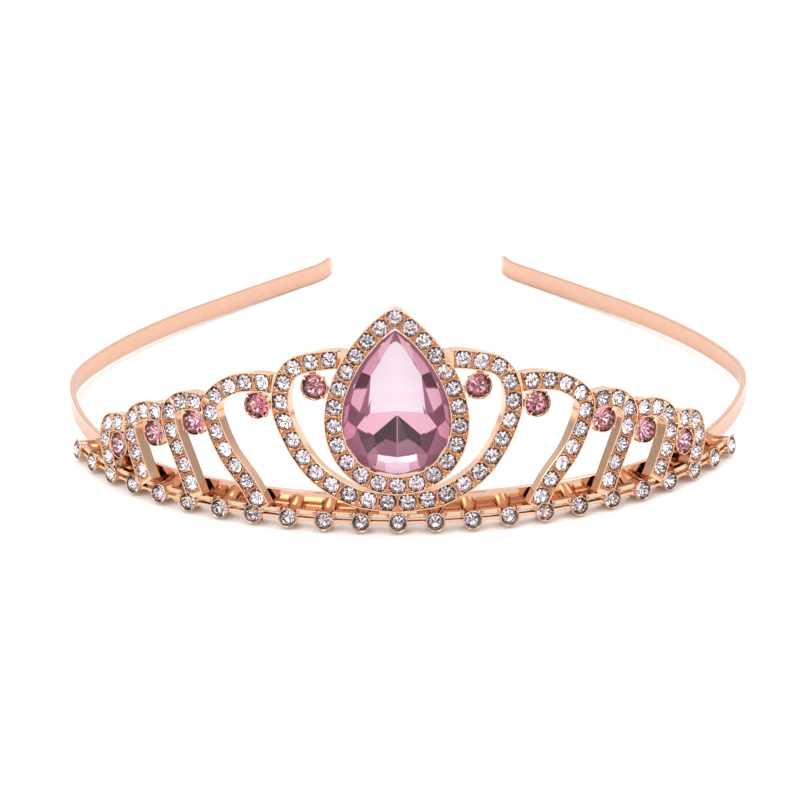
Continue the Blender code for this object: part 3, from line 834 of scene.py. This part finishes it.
@dataclass(frozen=True)
class StoneRow:
    """A channel of metal with a row of round stones between two thin raised edges."""

    name: str
    course: Course
    stones: int
    inlet: float
    outlet: float
    proud: float = 0.0
    side: float = 1.0
    start: float = 0.00125
    two_ended: bool = False
    half: float = 0.0016
    depth: float = 0.0020
    lip: float = 0.00020
    edge: float = 0.00020
    floor: float = -0.00006
    ridge: float = 0.00015
    ridge_gap: float = 0.00013
    ridge_width: float = 0.00006
    seat: float = 0.00045
    seat_share: float = 0.96
    seat_blur: float = 0.00003
    cone_share: float = 1.1
    inset: float = 0.00008
    round_off: float = 0.00004
    blank_share: float = 0.8
    dive: float = 0.00025
    # Painted sparkle: middle of each stone's painted foil tones, and painted shade that makes its
    # top facets darker
    painted_sparkle_middle: Tuple[float, float] = (0.70, 0.92)
    painted_light_slope: float = -0.16
    bead_back: float = 0.00040
    bead_beside: float = 0.00113
    stone: RoundCut = RoundCut(radius=0.00134, rise=0.00050, depth=0.00105)
    bead: Bead = Bead()

    @cached_property
    def bounds(self) -> Array:
        """Distances of the lines between the stones' cells."""
        return np.linspace(self.inlet, self.outlet, self.stones + 1)

    def lay(self, points: Array) -> Array:
        """Lay points on the wall, on this row's side and as proud as it stands."""
        shift = np.array([self.side, 1.0, 1.0])
        return WALL.lay(points * shift + np.array([0.0, 0.0, self.proud]))

    def channel(self, shell: Shell) -> None:
        """Add the channel, a profile carried along the middle line.

        The height over the girdles is the lip on the two edges, and the floor between them.
        On the floor, each line between two cells carries two ridges, each a bell curve of the
        distance from it, and under each stone a cone is sunk, so that its back has room.

        Args:
            shell: Shell of the piece.
        """
        pitch = self.bounds[1] - self.bounds[0]
        near = np.array([0.0, 0.07, 0.13, 0.19, 0.27, 0.42, 0.75, 1.15]) * 0.001
        cell = np.concatenate([near, [pitch / 2], pitch - near[:0:-1]])
        stations = (self.bounds[:-1, None] + cell[None, :]).ravel()
        if not self.course.closed:
            lead = np.linspace(self.start, self.inlet, 4, endpoint=False)
            tail = np.linspace(self.outlet, self.course.length, 4)
            if self.two_ended:
                tail = np.linspace(self.outlet, self.course.length - self.start, 4)
            stations = np.concatenate([lead, stations, tail])
        within = self.half - self.edge - self.inset
        inside = np.linspace(-within, within, 15)
        beside = np.concatenate([
            [-self.half, -self.half, -self.half + self.round_off, -self.half + self.edge], inside,
            [self.half - self.edge, self.half - self.round_off, self.half, self.half]])
        top, low = self.lip, self.lip - self.round_off
        height = np.concatenate([[-self.depth, low, top, top], np.full(len(inside), self.floor),
                                 [top, top, low, -self.depth]])
        count, width = len(stations), len(beside)
        out = np.broadcast_to(height, (count, width)).copy()
        off_line = np.abs(stations[:, None] - self.bounds[None, :]).min(axis=1)
        middles = (self.bounds[1:] + self.bounds[:-1]) / 2
        off_stone = np.abs(stations[:, None] - middles[None, :]).min(axis=1)
        bell = np.exp(-((off_line - self.ridge_gap) / self.ridge_width) ** 2)
        reach = np.hypot(off_stone[:, None], inside[None, :])
        sunk = 1.0 / (1.0 + np.exp((reach - self.stone.radius * self.seat_share)
                                   / self.seat_blur))
        cone = (np.clip(1.0 - reach / self.stone.radius, 0.0, 1.0)
                * self.stone.depth * self.cone_share)
        out[:, 4:4 + len(inside)] += self.ridge * bell[:, None] - sunk * (self.seat + cone)
        if not self.course.closed:
            start, end = stations < self.inlet - 1e-7, stations > self.outlet + 1e-7
            out[np.ix_(start | end, range(4, 4 + len(inside)))] = self.lip * self.blank_share
            out[start, 1:-1] -= self.lip + self.dive
        flat = (self.course.at(stations)[:, None, :]
                + beside[None, :, None] * self.course.left(stations)[:, None, :])
        grid = np.concatenate([flat, out[..., None]], axis=-1)
        shell.grid(self.lay(grid), loop=self.course.closed)

    def beads(self, shell: Shell) -> None:
        """Add four beads round each stone, in the corners of its cell."""
        middles = (self.bounds[1:] + self.bounds[:-1]) / 2
        pitch = self.bounds[1] - self.bounds[0]
        for ahead in (-1.0, 1.0):
            for over in (-1.0, 1.0):
                places = middles + ahead * (pitch / 2 - self.bead_back)
                flat = (self.course.at(places)
                        + over * self.bead_beside * self.course.left(places)) * [self.side, 1.0]
                for across, up in flat:
                    self.bead.cast(shell, (across, up, self.round_off + self.proud))

    def set_stones(self, shell: Shell, chance: np.random.Generator) -> None:
        """Add the stones of the row."""
        middles = (self.bounds[1:] + self.bounds[:-1]) / 2
        for across, up in self.course.at(middles) * [self.side, 1.0]:
            self.stone.set_in(shell, (across, up, self.proud), chance.uniform(0, math.pi),
                              chance, painted_sparkle_middle=chance.uniform(*self.painted_sparkle_middle), painted_light_slope=self.painted_light_slope)

    def build(self, finishes: Finishes, chance: np.random.Generator) -> None:
        """Build the channel with its beads, and the stones in it."""
        metal, glass = Shell(), Shell()
        self.channel(metal)
        self.beads(metal)
        metal.dress(f"{self.name}_channel", [finishes.gold], "rose_gold", [FRAME_NODE])
        self.set_stones(glass, chance)
        glass.dress(f"{self.name}_stones", [finishes.clear, finishes.clear_foil_painted_sparkle],
                    Glass.CLEAR.value, [FRAME_NODE], smooth=None)


@dataclass(frozen=True)
class Ornament:
    """All rows of small stones, each side's arches mirrored from one line."""

    pattern: Pattern = Pattern()
    pitch: float = 0.00319
    lyre_lead: float = 0.00275
    halo_proud: float = 0.00012
    arch_stones: Tuple[Tuple[str, int, float, float, float], ...] = (
        ("second", 10, 0.19, 0.10, -0.00006), ("third", 7, 0.05, 0.32, 0.0),
        ("fourth", 6, 0.05, 0.25, -0.00006), ("fifth", 4, 0.14, 0.17, 0.0))

    def rows(self) -> List[StoneRow]:
        """Every row of the ornament."""
        courses = self.pattern.courses
        halo, lyre = courses["halo"], courses["lyre"]
        step = halo.length / 24
        found = [StoneRow("halo", halo, 24, step / 2, halo.length + step / 2, self.halo_proud),
                 StoneRow("lyre", lyre, 26, self.lyre_lead, lyre.length - self.lyre_lead,
                          two_ended=True)]
        for name, stones, lead, tail, proud in self.arch_stones:
            course = courses[name]
            for side, sign in (("left", 1.0), ("right", -1.0)):
                found.append(StoneRow(f"{name}_arch_{side}", course, stones,
                                      0.0016 + lead * self.pitch,
                                      course.length - tail * self.pitch, proud, sign))
        return found

    def build(self, finishes: Finishes) -> None:
        """Build every row."""
        chance = np.random.default_rng(7)
        for row in self.rows():
            row.build(finishes, chance)


# The headband and its rail


@dataclass(frozen=True)
class Headband:
    """The flat strip that carries everything, with rounded ends."""

    height: float = 0.0034
    thickness: float = 0.0008
    setback: float = 0.0031
    drop: float = 0.0023
    tip_share: float = 0.3
    tip_angle: float = 31.0
    tip_steps: int = 7
    stations: int = 130
    edge: float = 0.00010

    def build(self, finishes: Finishes) -> None:
        """Carry a soft-edged rectangle along the wall's foot and round its ends.

        At a distance d from an end, the half height is the square root of
        r * r - (r - d) * (r - d), where r is half the band's height.
        """
        reach, radius = WALL.foot[0][-1], self.height / 2
        turns = np.radians(np.linspace(90.0, self.tip_angle, self.tip_steps))
        rounding = reach - radius * (1 - np.cos(turns))
        straight = np.linspace(0.0, reach - radius, self.stations)[1:]
        side = np.concatenate([straight, np.sort(rounding)])
        places = np.concatenate([-side[::-1], [0.0], side])
        x, y, heading = WALL.plan(places)
        end_y = WALL.plan(np.array([reach]))[1][0]
        lift = self.drop * (end_y - y) / (end_y + WALL.front_reach)
        left = np.clip(reach - np.abs(places), 0.0, radius)
        half = np.sqrt(np.clip(radius ** 2 - (radius - left) ** 2,
                               (self.tip_share * radius) ** 2, None))
        thick, edge = self.thickness / 2, self.edge
        section = np.array([[-thick, -1.0, edge], [-thick, 1.0, -edge], [-thick + edge, 1.0, 0.0],
                            [thick - edge, 1.0, 0.0], [thick, 1.0, -edge], [thick, -1.0, edge],
                            [thick - edge, -1.0, 0.0], [-thick + edge, -1.0, 0.0]])
        out = -self.setback - thick + section[None, :, 0]
        rise = (lift + radius)[:, None] + half[:, None] * section[None, :, 1] + section[None, :, 2]
        grid = np.stack([x[:, None] + out * np.sin(heading)[:, None],
                         y[:, None] - out * np.cos(heading)[:, None], rise], axis=-1)
        shell = Shell()
        shell.grid(grid)
        shell.dress("headband", [finishes.band_painted_shade], "rose_gold", [FRAME_NODE])


@dataclass(frozen=True)
class Rail:
    """The row of round collets along the foot, with two bars between them."""

    pitch: float = 0.0061
    pairs: int = 11
    radius: float = 0.00161
    rear: float = -0.00335
    lip: float = 0.00025
    sides: int = 28
    bar_back: float = -0.00145
    bar_front: float = -0.00015
    upper_level: float = 0.0011
    upper_height: float = 0.0008
    lower_level: float = -0.00005
    lower_height: float = 0.0005
    web: float = 0.0004
    web_length: float = 0.00055
    bite: float = 0.00020
    cap_beside: float = 0.00172
    cap_sunk: float = 0.00002
    stone_out: float = 0.00002
    # Painted sparkle: middle of each stone's painted foil tones, and painted shade that makes its
    # top facets darker
    painted_sparkle_middle: Tuple[float, float] = (0.66, 0.86)
    painted_light_slope: float = -0.26
    stone: RoundCut = RoundCut(radius=0.00141, rise=0.00044, depth=0.00100, sides=12)
    cap: Bead = Bead(radius=0.00027, sides=10)

    def collet(self, shell: Shell, across: float) -> None:
        """Add one tube, turned from a closed profile with a rolled front lip."""
        outer, lip = self.radius, self.lip
        profile = [(outer - 0.00006, self.rear), (outer - 0.00006, -0.00010), (outer, 0.00004),
                   (outer, lip - 0.00010), (outer - 0.00004, lip - 0.00003),
                   (outer - 0.00009, lip), (outer - 0.00014, lip - 0.00003),
                   (outer - 0.00017, 0.00004), (outer - 0.00020, -0.00080),
                   (outer - 0.00030, -0.00120), (outer - 0.00030, self.rear)]
        grid = turned(profile, self.sides) @ WALL.axes(across)
        shell.grid(grid + WALL.lay(np.array([across, 0.0, 0.0])), loop=True)

    def bar(self, shell: Shell, start: float, end: float, level: float,
            height: float, web: float) -> None:
        """Add a length of bar whose height grows towards the collets like a bell curve.

        Args:
            shell: Shell of the piece.
            start: Where it starts along the wall.
            end: Where it ends.
            level: Height of its middle.
            height: Its height between the collets.
            web: How much lower its underside is where it meets a collet.
        """
        places = np.linspace(start, end, 17)
        section = soft_box(self.bar_front - self.bar_back, height, 0.00010)
        ends = np.minimum(places - start, end - places)
        drop = web * np.exp(-(ends / self.web_length) ** 2)
        below = (section[:, 1] < 0)[None, :]
        up = level + section[None, :, 1] - below * drop[:, None]
        out = np.broadcast_to(section[None, :, 0] + (self.bar_front + self.bar_back) / 2, up.shape)
        across = np.broadcast_to(places[:, None], up.shape)
        shell.grid(WALL.lay(np.stack([across, up, out], axis=-1)))

    def build(self, finishes: Finishes) -> None:
        """Build the collets, the bars with their caps, and the stones."""
        metal = Shell()
        chance = np.random.default_rng(11)
        middles = np.arange(-self.pairs, self.pairs + 1) * self.pitch
        for number, across in enumerate(middles):
            self.collet(metal, across)
            stone = Shell()
            self.stone.set_in(stone, (across, 0.0, self.stone_out), chance.uniform(0, math.pi),
                              chance, painted_sparkle_middle=chance.uniform(*self.painted_sparkle_middle), painted_light_slope=self.painted_light_slope)
            stone.dress(f"rail_cut_{number:02d}", [finishes.clear, finishes.clear_foil_painted_sparkle],
                        Glass.CLEAR.value, [f"rail_stone_{number:02d}"], smooth=None)
        inset = self.radius - self.bite
        for across in middles[:-1]:
            start, end = across + inset, across + self.pitch - inset
            self.bar(metal, start, end, self.upper_level, self.upper_height, 0.0)
            self.bar(metal, start, end, self.lower_level, self.lower_height, self.web)
        for across in middles:
            for side in (-1.0, 1.0):
                place = (across + side * self.cap_beside, self.upper_level,
                         self.bar_front - self.cap_sunk)
                self.cap.cast(metal, place)
        metal.dress("rail", [finishes.gold], "rose_gold", [FRAME_NODE])


# Cups, lugs, feet and the pear


@dataclass(frozen=True)
class SideCup:
    """The tapered cups of the round pink stones, with small pointed prongs."""

    pattern: Pattern = Pattern()
    radius: float = 0.0023
    taper: float = 0.8
    rear: float = -0.0022
    lip: float = 0.0003
    prongs: int = 4
    prong_radius: float = 0.00020
    lug_start: float = 0.0016
    lug_short: float = 0.00125
    lug_width: float = 0.0013
    lug_rear: float = -0.0013
    lug_face: float = -0.0006
    # Painted sparkle: middle of the stones' painted foil tones, and painted light that makes their
    # top facets lighter than the lower ones
    painted_sparkle_middle: float = 0.60
    painted_light_slope: float = 0.22
    stone: RoundCut = RoundCut(radius=0.00200, rise=0.00070, depth=0.00150, sides=12,
                               table=0.50, star=0.77)

    def cup(self, shell: Shell, across: float, up: float) -> None:
        """Add one cup, turned from a closed profile."""
        outer, small, lip = self.radius, self.radius * self.taper, self.lip
        profile = [(small, self.rear), (outer - 0.00004, -0.00010), (outer, lip - 0.00010),
                   (outer - 0.00005, lip), (outer - 0.00016, lip), (outer - 0.00022, lip - 0.0001),
                   (outer - 0.00024, -0.00020), (small - 0.00030, -0.00170),
                   (0.00110, -0.00190), (0.00110, self.rear)]
        grid = turned(profile, 32) @ WALL.axes(across)
        shell.grid(grid + WALL.lay(np.array([across, up, 0.0])), loop=True)

    def prong(self, shell: Shell, across: float, up: float, turn: float) -> None:
        """Add one prong: a round wire up the cup's side that bends over the stone to a point."""
        path = np.array([[0.00215, -0.0014], [0.00228, -0.0004], [0.00230, 0.00022],
                         [0.00218, 0.00052], [0.00194, 0.00064], [0.00176, 0.00062]])
        thick = np.array([0.9, 1.0, 1.0, 0.9, 0.65, 0.2]) * self.prong_radius
        way = np.gradient(path, axis=0)
        way /= np.linalg.norm(way, axis=1)[:, None]
        across_way = np.stack([-way[:, 1], way[:, 0]], axis=-1)
        angle = np.arange(8) / 8 * 2 * math.pi
        radial = path[:, None, :] + (thick[:, None, None] * np.cos(angle)[None, :, None]
                                     * across_way[:, None, :])
        sideways = thick[:, None] * np.sin(angle)[None, :]
        local = np.stack([radial[..., 0] * math.cos(turn) - sideways * math.sin(turn),
                          radial[..., 0] * math.sin(turn) + sideways * math.cos(turn),
                          radial[..., 1]], axis=-1)
        shell.grid(local @ WALL.axes(across) + WALL.lay(np.array([across, up, 0.0])))

    def build(self, finishes: Finishes) -> None:
        """Build the cups with their lugs and prongs, and the stones."""
        metal = Shell()
        chance = np.random.default_rng(5)
        for number, (share, height, *rows) in enumerate(self.pattern.cups, start=1):
            middle = self.pattern.metres((share, height))
            for side, sign in (("left", 1.0), ("right", -1.0)):
                flip = np.array([sign, 1.0])
                across, up = middle * flip
                self.cup(metal, across, up)
                for quarter in range(self.prongs):
                    turn = (quarter + 0.5) / self.prongs * 2 * math.pi
                    self.prong(metal, across, up, turn)
                for row in rows:
                    end = self.pattern.courses[row].nearest(middle)
                    gap = (end - middle) / np.linalg.norm(end - middle)
                    beam(metal, (middle + gap * self.lug_start) * flip,
                         (end - gap * self.lug_short) * flip,
                         self.lug_width, self.lug_rear, self.lug_face)
                stone = Shell()
                self.stone.set_in(stone, (across, up, 0.0), chance.uniform(0, math.pi),
                                  chance, painted_sparkle_middle=self.painted_sparkle_middle, painted_light_slope=self.painted_light_slope)
                stone.dress(f"side_cut_{side}_{number}", [finishes.pink, finishes.pink_foil_painted_sparkle],
                            Glass.PINK.value, [f"side_stone_{side}_{number}"], smooth=None)
        metal.dress("side_cups", [finishes.gold], "rose_gold", [FRAME_NODE])


@dataclass(frozen=True)
class Feet:
    """The blocks that join the arches and the lyre to the rail and the headband."""

    pattern: Pattern = Pattern()
    half: float = 0.00088
    low: float = 0.00095
    high: float = 0.00175
    rear: float = -0.00335
    face: float = -0.00040
    lyre_width: float = 0.00638
    lyre_low: float = 0.0011
    lyre_gap: float = 0.0012
    lyre_face: float = -0.00025

    def build(self, finishes: Finishes) -> None:
        """Build one block under each arch, and a wider one under the lyre."""
        shell = Shell()
        for name, _, _ in self.pattern.arches:
            across = self.pattern.courses[name].points[-1][0]
            for sign in (-1.0, 1.0):
                middle = across * sign
                beam(shell, np.array([middle, self.low]), np.array([middle, self.high]),
                     2 * self.half, self.rear, self.face)
        foot = self.pattern.lyre[0][1] * self.pattern.crest
        beam(shell, np.array([0.0, self.lyre_low]), np.array([0.0, foot - self.lyre_gap]),
             self.lyre_width, self.rear, self.lyre_face)
        shell.dress("feet", [finishes.gold], "rose_gold", [FRAME_NODE])


@dataclass(frozen=True)
class PearStone:
    """The large pear-shaped stone and the claws that hold it in the halo."""

    pattern: Pattern = Pattern()
    length: float = 0.0240
    width: float = 0.0178
    foot: float = 0.0081
    crown: float = 0.0020
    pavilion: float = 0.0048
    point: float = 0.68
    sides: int = 20
    focus: float = -0.10
    claws: int = 8
    claw_reach: float = 0.0025
    claw_start: float = 0.0012
    claw_width: float = 0.0013
    claw_rear: float = -0.0013
    claw_face: float = -0.0006
    claw_taper: float = 0.7
    hollow: float = 0.75
    # Painted sparkle tone of the foil outside the listed facets
    rest_painted_sparkle: float = 0.30
    rings: Tuple[Tuple[float, float, float], ...] = (
        (0.56, 1.00, 0.0), (0.82, 0.58, 0.5), (1.00, 0.03, 0.0), (1.00, -0.03, 0.0))
    # Each foil facet: its painted sparkle tone, painted reflection and shade, then its corners
    facets: Tuple[Tuple[float, Tuple[Tuple[float, float], ...]], ...] = (
        (1.00, ((0.00, 0.09), (0.10, 0.12), (0.44, 0.33), (0.46, 0.45), (0.00, 0.45))),
        (0.94, ((0.00, 0.45), (0.46, 0.45), (0.49, 0.59), (0.00, 0.59))),
        (0.66, ((0.00, 0.59), (0.49, 0.59), (0.70, 0.68), (0.43, 0.74), (0.00, 0.62))),
        (0.72, ((0.03, 0.03), (0.28, 0.13), (0.30, 0.235), (0.10, 0.12))),
        (0.56, ((0.28, 0.13), (0.50, 0.23), (0.60, 0.30), (0.44, 0.33), (0.30, 0.235))),
        (0.10, ((0.44, 0.33), (0.60, 0.30), (0.74, 0.41), (0.52, 0.41))),
        (0.34, ((0.62, 0.30), (0.72, 0.36), (0.88, 0.50), (0.80, 0.50), (0.74, 0.41))),
        (0.66, ((0.50, 0.42), (0.74, 0.42), (0.80, 0.51), (0.64, 0.58))),
        (0.22, ((0.51, 0.59), (0.64, 0.59), (0.82, 0.52), (0.86, 0.62), (0.71, 0.68))),
        (0.46, ((0.82, 0.52), (0.91, 0.53), (0.96, 0.66), (0.86, 0.62))),
        (0.50, ((0.71, 0.69), (0.86, 0.63), (0.96, 0.68), (0.93, 0.76), (0.76, 0.74))),
        (0.12, ((0.43, 0.74), (0.70, 0.69), (0.62, 0.78), (0.53, 0.86), (0.39, 0.81))),
        (0.30, ((0.62, 0.78), (0.72, 0.72), (0.84, 0.76), (0.78, 0.86), (0.62, 0.86))),
        (0.00, ((0.015, 0.62), (0.43, 0.74), (0.39, 0.81), (0.20, 0.77), (0.015, 0.80))),
        (0.24, ((0.015, 0.80), (0.20, 0.77), (0.39, 0.81), (0.34, 0.86), (0.015, 0.88))),
        (1.00, ((0.00, 0.88), (0.34, 0.86), (0.36, 0.90), (0.20, 0.92), (0.00, 0.91))),
        (0.26, ((0.53, 0.86), (0.62, 0.86), (0.78, 0.86), (0.66, 0.93), (0.50, 0.93))),
        (0.34, ((0.36, 0.86), (0.53, 0.86), (0.50, 0.93), (0.40, 0.955), (0.36, 0.90))),
        (0.60, ((0.20, 0.92), (0.36, 0.90), (0.40, 0.955), (0.22, 0.975))),
        (0.86, ((0.00, 0.91), (0.20, 0.92), (0.22, 0.975), (0.12, 0.99), (0.00, 0.99))))

    def ring(self, size: float, rise: float, shift: float) -> Array:
        """One ring of the outline, drawn in towards the focus, as (across, up, out)."""
        fine = teardrop(self.width, self.length, -self.length / 2, self.point, self.sides * 2)
        outline = fine[int(round(shift * 2))::2]
        focus = np.array([0.0, self.focus * self.length])
        flat = focus + size * (outline - focus)
        out = rise * (self.crown if rise > 0 else self.pavilion)
        return np.column_stack([flat, np.full(len(flat), out)])

    def foil(self, girdle: Array) -> Tuple[Array, List[List[int]], List[float]]:
        """Lay out the foil's facets inside the girdle, each with its painted sparkle tone, a
        painted reflection.

        The facets are drawn flat, mirrored, and cut into triangles. A point is then sunk by
        the pavilion's depth times (1 - s) ** hollow, where s is its distance from the focus as a
        share of the outline's distance that way.

        Args:
            girdle: The girdle's lower ring, as rows of (across, up, out).

        Returns:
            Points, triangles and a painted sparkle tone for each.
        """
        flat = [point for point in girdle[:, :2]]
        faces = [list(range(len(flat)))]
        painted_sparkles = [self.rest_painted_sparkle]
        for painted_sparkle, corners in self.facets:
            for side in (1.0, -1.0):
                shares = np.array(corners) * [side, 1.0]
                points = np.stack([shares[:, 0] * self.width / 2,
                                   self.length * (0.5 - shares[:, 1])], axis=-1)
                faces.append(list(range(len(flat), len(flat) + len(points))))
                flat.extend(points)
                painted_sparkles.append(painted_sparkle)
        spots = np.array(flat)
        for face in faces:
            x, y = spots[face].T
            if np.sum(x * np.roll(y, -1) - y * np.roll(x, -1)) < 0:
                face.reverse()
        cut = delaunay_2d_cdt([Vector(spot) for spot in spots.tolist()], [], faces, 1,
                              1e-8, True)
        spots = np.array([tuple(spot) for spot in cut[0]])
        focus = np.array([0.0, self.focus * self.length])
        fine = teardrop(self.width, self.length, -self.length / 2, self.point, 720) - focus
        rim_angle, rim = np.arctan2(fine[:, 0], fine[:, 1]), np.linalg.norm(fine, axis=1)
        arm = spots - focus
        limit = np.interp(np.arctan2(arm[:, 0], arm[:, 1]), rim_angle, rim, period=2 * math.pi)
        inward = np.clip(1.0 - np.linalg.norm(arm, axis=1) / limit, 0.0, 1.0)
        low = girdle[0, 2]
        on_rim = np.isclose(np.abs(spots[:, None, :] - girdle[None, :, :2]).sum(axis=2).min(axis=1),
                            0.0, atol=1e-7)
        inward[on_rim] = 0.0
        out = low - (self.pavilion + low) * inward ** self.hollow
        shades = [painted_sparkles[max(owners)] if owners else self.rest_painted_sparkle for owners in cut[5]]
        return np.column_stack([spots, out]), [list(face) for face in cut[2]], shades

    def build(self, finishes: Finishes) -> None:
        """Build the stone, its glass front and its foiled back, and its claws."""
        rings = [self.ring(*ring) for ring in self.rings]
        local, count = np.vstack(rings), self.sides
        faces = [list(range(count))] + facet_faces(0, 1, count, True)
        faces += facet_faces(1, 2, count, False)
        now = np.arange(count)
        then = (now + 1) % count
        faces += np.stack([2 * count + now, 3 * count + now, 3 * count + then,
                           2 * count + then], axis=-1).tolist()
        axes = WALL.axes(0.0)
        middle = WALL.lay(np.array([0.0, self.foot + self.length / 2, 0.0]))
        stone = Shell()
        stone.add(local @ axes + middle, faces)
        points, triangles, painted_sparkles = self.foil(rings[-1])
        stone.add(points @ axes + middle, triangles, painted_sparkles, [1] * len(triangles))
        stone.dress("pear_cut", [finishes.pale, finishes.pear_foil_painted_sparkle], Glass.PALE.value,
                    ["pear_stone"], smooth=None, weld=True)
        self.build_claws(finishes)

    def build_claws(self, finishes: Finishes) -> None:
        """Build the claws, from the halo's inner edge in under the pear."""
        halo = self.pattern.courses["halo"]
        shell = Shell()
        places = (np.arange(self.claws) + 0.5) / self.claws * halo.length
        starts = halo.at(places)
        ends = starts - self.claw_reach * halo.left(places)
        starts = starts - self.claw_start * halo.left(places)
        for start, end in zip(starts, ends):
            beam(shell, start, end, self.claw_width, self.claw_rear, self.claw_face,
                 taper=self.claw_taper)
        shell.dress("pear_claws", [finishes.gold], "rose_gold", [FRAME_NODE])


# The studio


@dataclass(frozen=True)
class Studio:
    """A pale floor, a soft white room with dimmer sides, and the camera."""

    down: float = math.radians(22.49)
    aside: float = math.radians(-2.11)
    roll: float = math.radians(-1.22)
    target: Tuple[float, float, float] = (0.00046, -0.05374, 0.02070)
    distance: float = 0.6
    lens: float = 166.2
    sensor: float = 36.0
    near: float = 0.01
    far: float = 20.0
    floor_half: float = 3.0
    floor_drop: float = 0.00002
    strength: float = 1.34
    rise: Stops = ((0.02, (0.78, 0.76, 0.77)), (0.55, (1.0, 1.0, 1.0)))
    wide: Stops = ((0.45, (1.0, 1.0, 1.0)), (0.92, (0.48, 0.45, 0.44)))
    lamps: Tuple[Tuple[str, Tuple[float, float, float], float, float], ...] = (
        ("key_lamp", (-0.45, -0.75, 0.95), 0.5, 3.0),
        ("fill_lamp", (0.65, -0.35, 0.80), 0.4, 1.2),
        ("rear_lamp", (0.05, 0.75, 0.75), 0.5, 1.2))

    def floor(self) -> None:
        """Lay the floor, a flat grid."""
        line = np.linspace(-self.floor_half, self.floor_half, 5)
        x, y = np.meshgrid(line, line)
        mesh = bpy.data.meshes.new("floor")
        points = np.stack([x, y, np.full_like(x, -self.floor_drop)], axis=-1).reshape(-1, 3)
        mesh.from_pydata(points.tolist(), [], grid_faces(5, 5, False).tolist())
        mesh.materials.append(PaleFloor().material())
        floor = bpy.data.objects.new("floor", mesh)
        bpy.context.scene.collection.objects.link(floor)

    def room(self) -> None:
        """Light the room: white above, dimmer towards the horizon and to the sides."""
        world = bpy.data.worlds.new("room")
        bpy.context.scene.world = world
        world.use_nodes = True
        tree = world.node_tree
        back = tree.nodes["Background"]
        place, parts, reach, both = [tree.nodes.new(kind) for kind in (
            "ShaderNodeTexCoord", "ShaderNodeSeparateXYZ", "ShaderNodeMath", "ShaderNodeMix")]
        rise, wide = colour_ramp(tree, self.rise), colour_ramp(tree, self.wide)
        reach.operation = "ABSOLUTE"
        both.data_type = "RGBA"
        both.blend_type = "MULTIPLY"
        fill(both, {"Factor": 1.0})
        fill(back, {"Strength": self.strength})
        wire(tree, (place, "Generated", parts, "Vector"), (parts, "Z", rise, "Fac"),
             (parts, "X", reach, "Value"), (reach, "Value", wide, "Fac"),
             (rise, "Color", both, "A"), (wide, "Color", both, "B"),
             (both, "Result", back, "Color"))

    def lamp(self, name: str, place: Tuple[float, float, float], size: float,
             power: float) -> None:
        """Hang a soft square lamp that faces the ornament.

        Args:
            name: Name of the lamp.
            place: Where it hangs.
            size: Its side.
            power: Its power in watts.
        """
        data = bpy.data.lights.new(name, "AREA")
        data.size = size
        data.energy = power
        lamp = bpy.data.objects.new(name, data)
        way = Vector(self.target) - Vector(place)
        lamp.matrix_world = (Matrix.Translation(place)
                             @ way.to_track_quat("-Z", "Y").to_matrix().to_4x4())
        bpy.context.scene.collection.objects.link(lamp)

    def camera(self) -> None:
        """Set the camera up: it looks down by one angle, aside by another, and rolls."""
        cos_e, sin_e = math.cos(self.down), math.sin(self.down)
        cos_a, sin_a = math.cos(self.aside), math.sin(self.aside)
        forward = Vector((sin_a * cos_e, cos_a * cos_e, -sin_e))
        right = Vector((cos_a, -sin_a, 0.0))
        above = right.cross(forward)
        cos_r, sin_r = math.cos(self.roll), math.sin(self.roll)
        right, above = cos_r * right + sin_r * above, -sin_r * right + cos_r * above
        place = Vector(self.target) - self.distance * forward
        matrix = Matrix((right, above, -forward)).transposed().to_4x4()
        matrix.translation = place
        data = bpy.data.cameras.new("camera")
        data.lens = self.lens
        data.sensor_width = self.sensor
        data.clip_start = self.near
        data.clip_end = self.far
        camera = bpy.data.objects.new("camera", data)
        camera.matrix_world = matrix
        bpy.context.scene.collection.objects.link(camera)
        bpy.context.scene.camera = camera

    def build(self) -> None:
        """Build the floor, the room, the lamps and the camera."""
        self.floor()
        self.room()
        for lamp in self.lamps:
            self.lamp(*lamp)
        self.camera()
        bpy.context.scene.view_settings.view_transform = "Standard"


def main() -> None:
    """Build the tiara and its studio."""
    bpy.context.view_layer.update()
    finishes = Finishes()
    Studio().build()
    Headband().build(finishes)
    Rail().build(finishes)
    Ornament().build(finishes)
    Feet().build(finishes)
    SideCup().build(finishes)
    PearStone().build(finishes)


if __name__ == "__main__":
    main()
